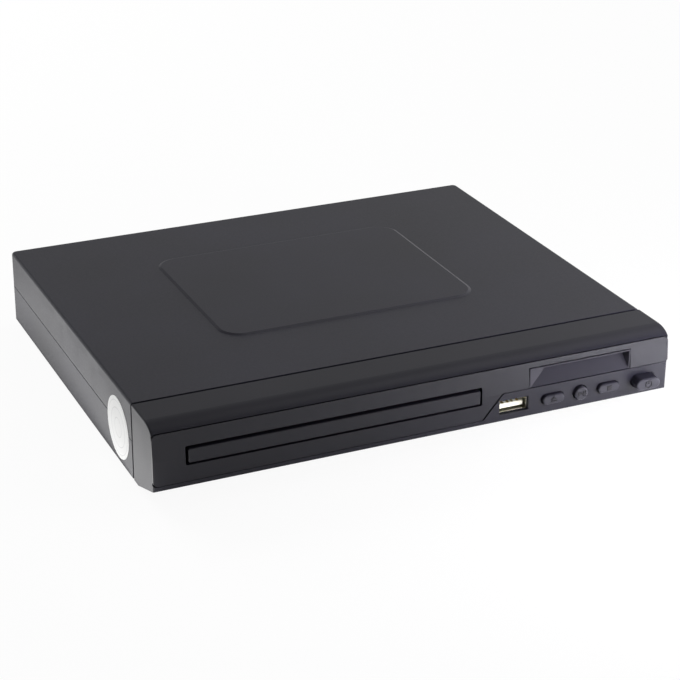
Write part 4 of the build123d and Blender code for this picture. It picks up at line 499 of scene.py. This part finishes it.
head_reach = HEAD_RADIUS_MM * MM
neck_z = screws_low.z + HEAD_HEIGHT_MM * MM
screw_parts = []
for x in (screws_low.x + head_reach, screws_high.x - head_reach):
    for y in (screws_low.y + head_reach, screws_high.y - head_reach):
        screw_parts.append(pan_head(x, y, screws_low.z))
        screw_parts.append(threaded_rod(
            (x, y, neck_z), (0, 0, 1), screws_high.z - neck_z, SHANK_RADIUS_MM * MM,
            TAPPING_PITCH_MM * MM, TAPPING_DEPTH_MM * MM))
screw_points, screw_faces = joined(screw_parts)
tapping_screws = mesh_piece(
    "tapping_screws", screw_points, screw_faces, zinc_plate, "case")
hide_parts("case_screws")

# Seal: a round of white paper, stuck across the seam of the case on the left side. Uncoated paper
# is matt and slightly uneven, and three thin grey rings are printed on it.
SEAL_RADIUS_MM = 13.0
FIBRE_MM = 0.8
FIBRE_RISE_MM = 0.01
FIBRE_OCTAVES = 4.0
PAPER, PRINT = "dfdfde", "cbcbcb"
RING_SHARES = (0.30, 0.62, 0.86)
RING_WIDTH_SHARE = 0.025
seal_low, seal_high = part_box("seal_sticker")
seal_middle = (seal_low + seal_high) / 2
seal_paper = blank("white_paper_seal")
seal_place = add(seal_paper, "TexCoord").outputs["Object"]
from_middle = add(seal_paper, "VectorMath", {0: seal_place, 1: seal_middle}, operation="SUBTRACT")
across_mm = add(seal_paper, "VectorMath", {
    0: from_middle.outputs["Vector"], 1: (0, 1 / MM, 1 / MM)}, operation="MULTIPLY")
reach_mm = add(seal_paper, "VectorMath", {0: across_mm.outputs["Vector"]}, operation="LENGTH")
share = add(seal_paper, "MapRange", {
    "Value": reach_mm.outputs["Value"], "From Max": SEAL_RADIUS_MM})
ring_stops = [(0.0, PAPER)]
for ring in RING_SHARES:
    ring_stops += [(ring, PRINT), (ring + RING_WIDTH_SHARE, PAPER)]
rings = add(seal_paper, "ValToRGB", {"Fac": share.outputs["Result"]}, stops=ring_stops)
rings.color_ramp.interpolation = "CONSTANT"
fibre = add(seal_paper, "TexNoise", {
    "Vector": seal_place, "Scale": 1 / (FIBRE_MM * MM), "Detail": FIBRE_OCTAVES})
paper_bump = add(seal_paper, "Bump", {
    "Height": fibre.outputs["Fac"], "Distance": FIBRE_RISE_MM * MM})
paper_shader = add(seal_paper, "BsdfPrincipled", {
    "Base Color": rings.outputs["Color"], "Roughness": 0.8,
    "Normal": paper_bump.outputs["Normal"]})
add(seal_paper, "OutputMaterial", {"Surface": paper_shader.outputs["BSDF"]})
finish(seal_paper, "seal_sticker")

# Floor: a wide sheet of white paper. It glows white to the camera and through glass, and less to
# gloss, and the rest of it is lit paper that keeps the shadow of the case.
FLOOR_HALF = 4.0
FLOOR_STEPS = 5
CAMERA_GLOW = 0.93
GLOSS_GLOW = 0.08
floor_line = np.linspace(-FLOOR_HALF, FLOOR_HALF, FLOOR_STEPS)
floor_x, floor_y = np.meshgrid(floor_line, floor_line)
floor_points = np.stack([floor_x, floor_y, np.zeros_like(floor_x)], -1)
floor_faces = grid_faces(FLOOR_STEPS, FLOOR_STEPS, closed=False)
floor_mesh = bpy.data.meshes.new("floor")
floor_mesh.from_pydata(floor_points.reshape(-1, 3).tolist(), [], floor_faces)
floor = bpy.data.objects.new("floor", floor_mesh)
bpy.context.scene.collection.objects.link(floor)
floor_paper = blank("white_paper_floor")
sight = add(floor_paper, "LightPath")
direct = add(floor_paper, "Math", {
    0: sight.outputs["Is Camera Ray"], 1: sight.outputs["Is Transmission Ray"]},
    operation="MAXIMUM")
mirrored = add(floor_paper, "Math", {
    0: sight.outputs["Is Glossy Ray"], 1: GLOSS_GLOW}, operation="MULTIPLY")
glowing = add(floor_paper, "Math", {
    0: direct.outputs["Value"], 1: CAMERA_GLOW, 2: mirrored.outputs["Value"]},
    operation="MULTIPLY_ADD")
paper = add(floor_paper, "BsdfDiffuse", {"Color": linear("fafafa")})
glow = add(floor_paper, "Emission", {"Color": linear("ffffff")})
both = add(floor_paper, "MixShader", {
    0: glowing.outputs["Value"], 1: paper.outputs["BSDF"], 2: glow.outputs["Emission"]})
add(floor_paper, "OutputMaterial", {"Surface": both.outputs["Shader"]})
floor_mesh.materials.append(floor_paper)

# Room: dim grey walls, paler on the right, with a white backdrop low down behind the case, so that
# the lid and the rounded edge of the panel mirror little. The bounds are parts of a unit direction.
ROOM_LEVEL = 0.25
RIGHT_WALL_LEVEL = 0.42
RIGHT_WALL_FROM, RIGHT_WALL_FULL = 0.42, 0.62
WHITE_UP_TO, GREY_FROM = 0.10, 0.42
BACKDROP_FROM, BACKDROP_FULL = -0.2, 0.4
world = bpy.data.worlds.new("studio")
bpy.context.scene.world = world
world.use_nodes = True
world.node_tree.nodes.clear()
towards = add(world, "SeparateXYZ", {"Vector": add(world, "TexCoord").outputs["Generated"]})
low_down = add(world, "MapRange", {
    "Value": towards.outputs["Z"], "From Min": WHITE_UP_TO, "From Max": GREY_FROM,
    "To Min": 1.0, "To Max": 0.0})
behind = add(world, "MapRange", {
    "Value": towards.outputs["Y"], "From Min": BACKDROP_FROM, "From Max": BACKDROP_FULL})
backdrop = add(world, "Math", {
    0: low_down.outputs["Result"], 1: behind.outputs["Result"]}, operation="MULTIPLY")
right_wall = add(world, "MapRange", {
    "Value": towards.outputs["X"], "From Min": RIGHT_WALL_FROM, "From Max": RIGHT_WALL_FULL,
    "To Max": RIGHT_WALL_LEVEL}, interpolation_type="SMOOTHSTEP")
room = add(world, "MapRange", {
    "Value": backdrop.outputs["Value"], "To Min": ROOM_LEVEL, "To Max": 1.0})
strength = add(world, "Math", {
    0: room.outputs["Result"], 1: right_wall.outputs["Result"]}, operation="ADD")
sky = add(world, "Background", {
    "Color": linear("ffffff"), "Strength": strength.outputs["Value"]})
add(world, "OutputWorld", {"Surface": sky.outputs["Background"]})


# Lamps: a large softbox above and behind on the left, and one above on the right, which the rounded
# edge of the panel mirrors. Flat panels on the floor are what the left wall and the front mirror,
# and a small, cool lamp in front on the right lights the floor there.
def softbox(name, place, aim, size, power, colour="ffffff", mirrored=True, turn=0.0):
    """Flat lamp at a place, facing a point, in metres and watts, and turned about that line by some
    degrees. It may be hidden from gloss."""
    lamp = bpy.data.lights.new(name, "AREA")
    lamp.shape = "RECTANGLE"
    lamp.size, lamp.size_y = size
    lamp.energy = power
    lamp.color = linear(colour)[:3]
    made = bpy.data.objects.new(name, lamp)
    made.location = place
    facing = (Vector(aim) - Vector(place)).to_track_quat("-Z", "Y")
    made.rotation_euler = (facing @ Quaternion((0, 0, 1), math.radians(turn))).to_euler()
    made.visible_camera = False
    made.visible_glossy = mirrored
    bpy.context.scene.collection.objects.link(made)


softbox("key_lamp", place=(-0.5, 1.1, 0.85), aim=(0, 0, 0.02), size=(0.9, 0.6), power=12,
        mirrored=False)
softbox("left_bounce", place=(-0.208, 0.02, 0.003), aim=(-0.208, 0.02, 1.0), size=(0.185, 0.30),
        power=0.094)
softbox("left_strip", place=(-0.13, -0.005, 0.003), aim=(-0.13, -0.005, 1.0), size=(0.018, 0.26),
        power=0.016, turn=-5.0)
softbox("right_bounce", place=(0.57, -0.62, 0.003), aim=(0.57, -0.62, 1.0), size=(0.9, 0.82),
        power=2.8)
softbox("right_screen", place=(0.70, 0.08, 1.0), aim=(0.05, -0.1, 0.03), size=(0.75, 0.75),
        power=1.6)
softbox("front_lamp", place=(0.19, -0.20, 0.066), aim=(0.13, -0.13, 0.0), size=(0.17, 0.06),
        power=0.84, colour="f8f7ff", mirrored=False)

# Camera: a long lens from the front left, above the lid, as the picture was taken. Its place, aim
# and roll were worked out from the straight edges of the case.
EYE_MM = (-318.5, -713.2, 367.9)
AIM_MM = (-20.76, -53.57, 51.11)
ROLL_DEGREES = 0.363
SENSOR_MM = 36.0
FOCAL_MM = 101.91
SHIFT_X, SHIFT_Y = 0.0138, -0.047
NEAR_MM = 10.0
lens = bpy.data.cameras.new("camera")
lens.sensor_width = SENSOR_MM
lens.lens = FOCAL_MM
lens.shift_x, lens.shift_y = SHIFT_X, SHIFT_Y
lens.clip_start = NEAR_MM * MM
camera = bpy.data.objects.new("camera", lens)
camera.location = Vector(EYE_MM) * MM
camera.rotation_mode = "QUATERNION"
look = (Vector(AIM_MM) - Vector(EYE_MM)).to_track_quat("-Z", "Y")
camera.rotation_quaternion = look @ Quaternion((0, 0, 1), math.radians(ROLL_DEGREES))
bpy.context.scene.collection.objects.link(camera)
bpy.context.scene.camera = camera
bpy.context.scene.view_settings.view_transform = "Standard"
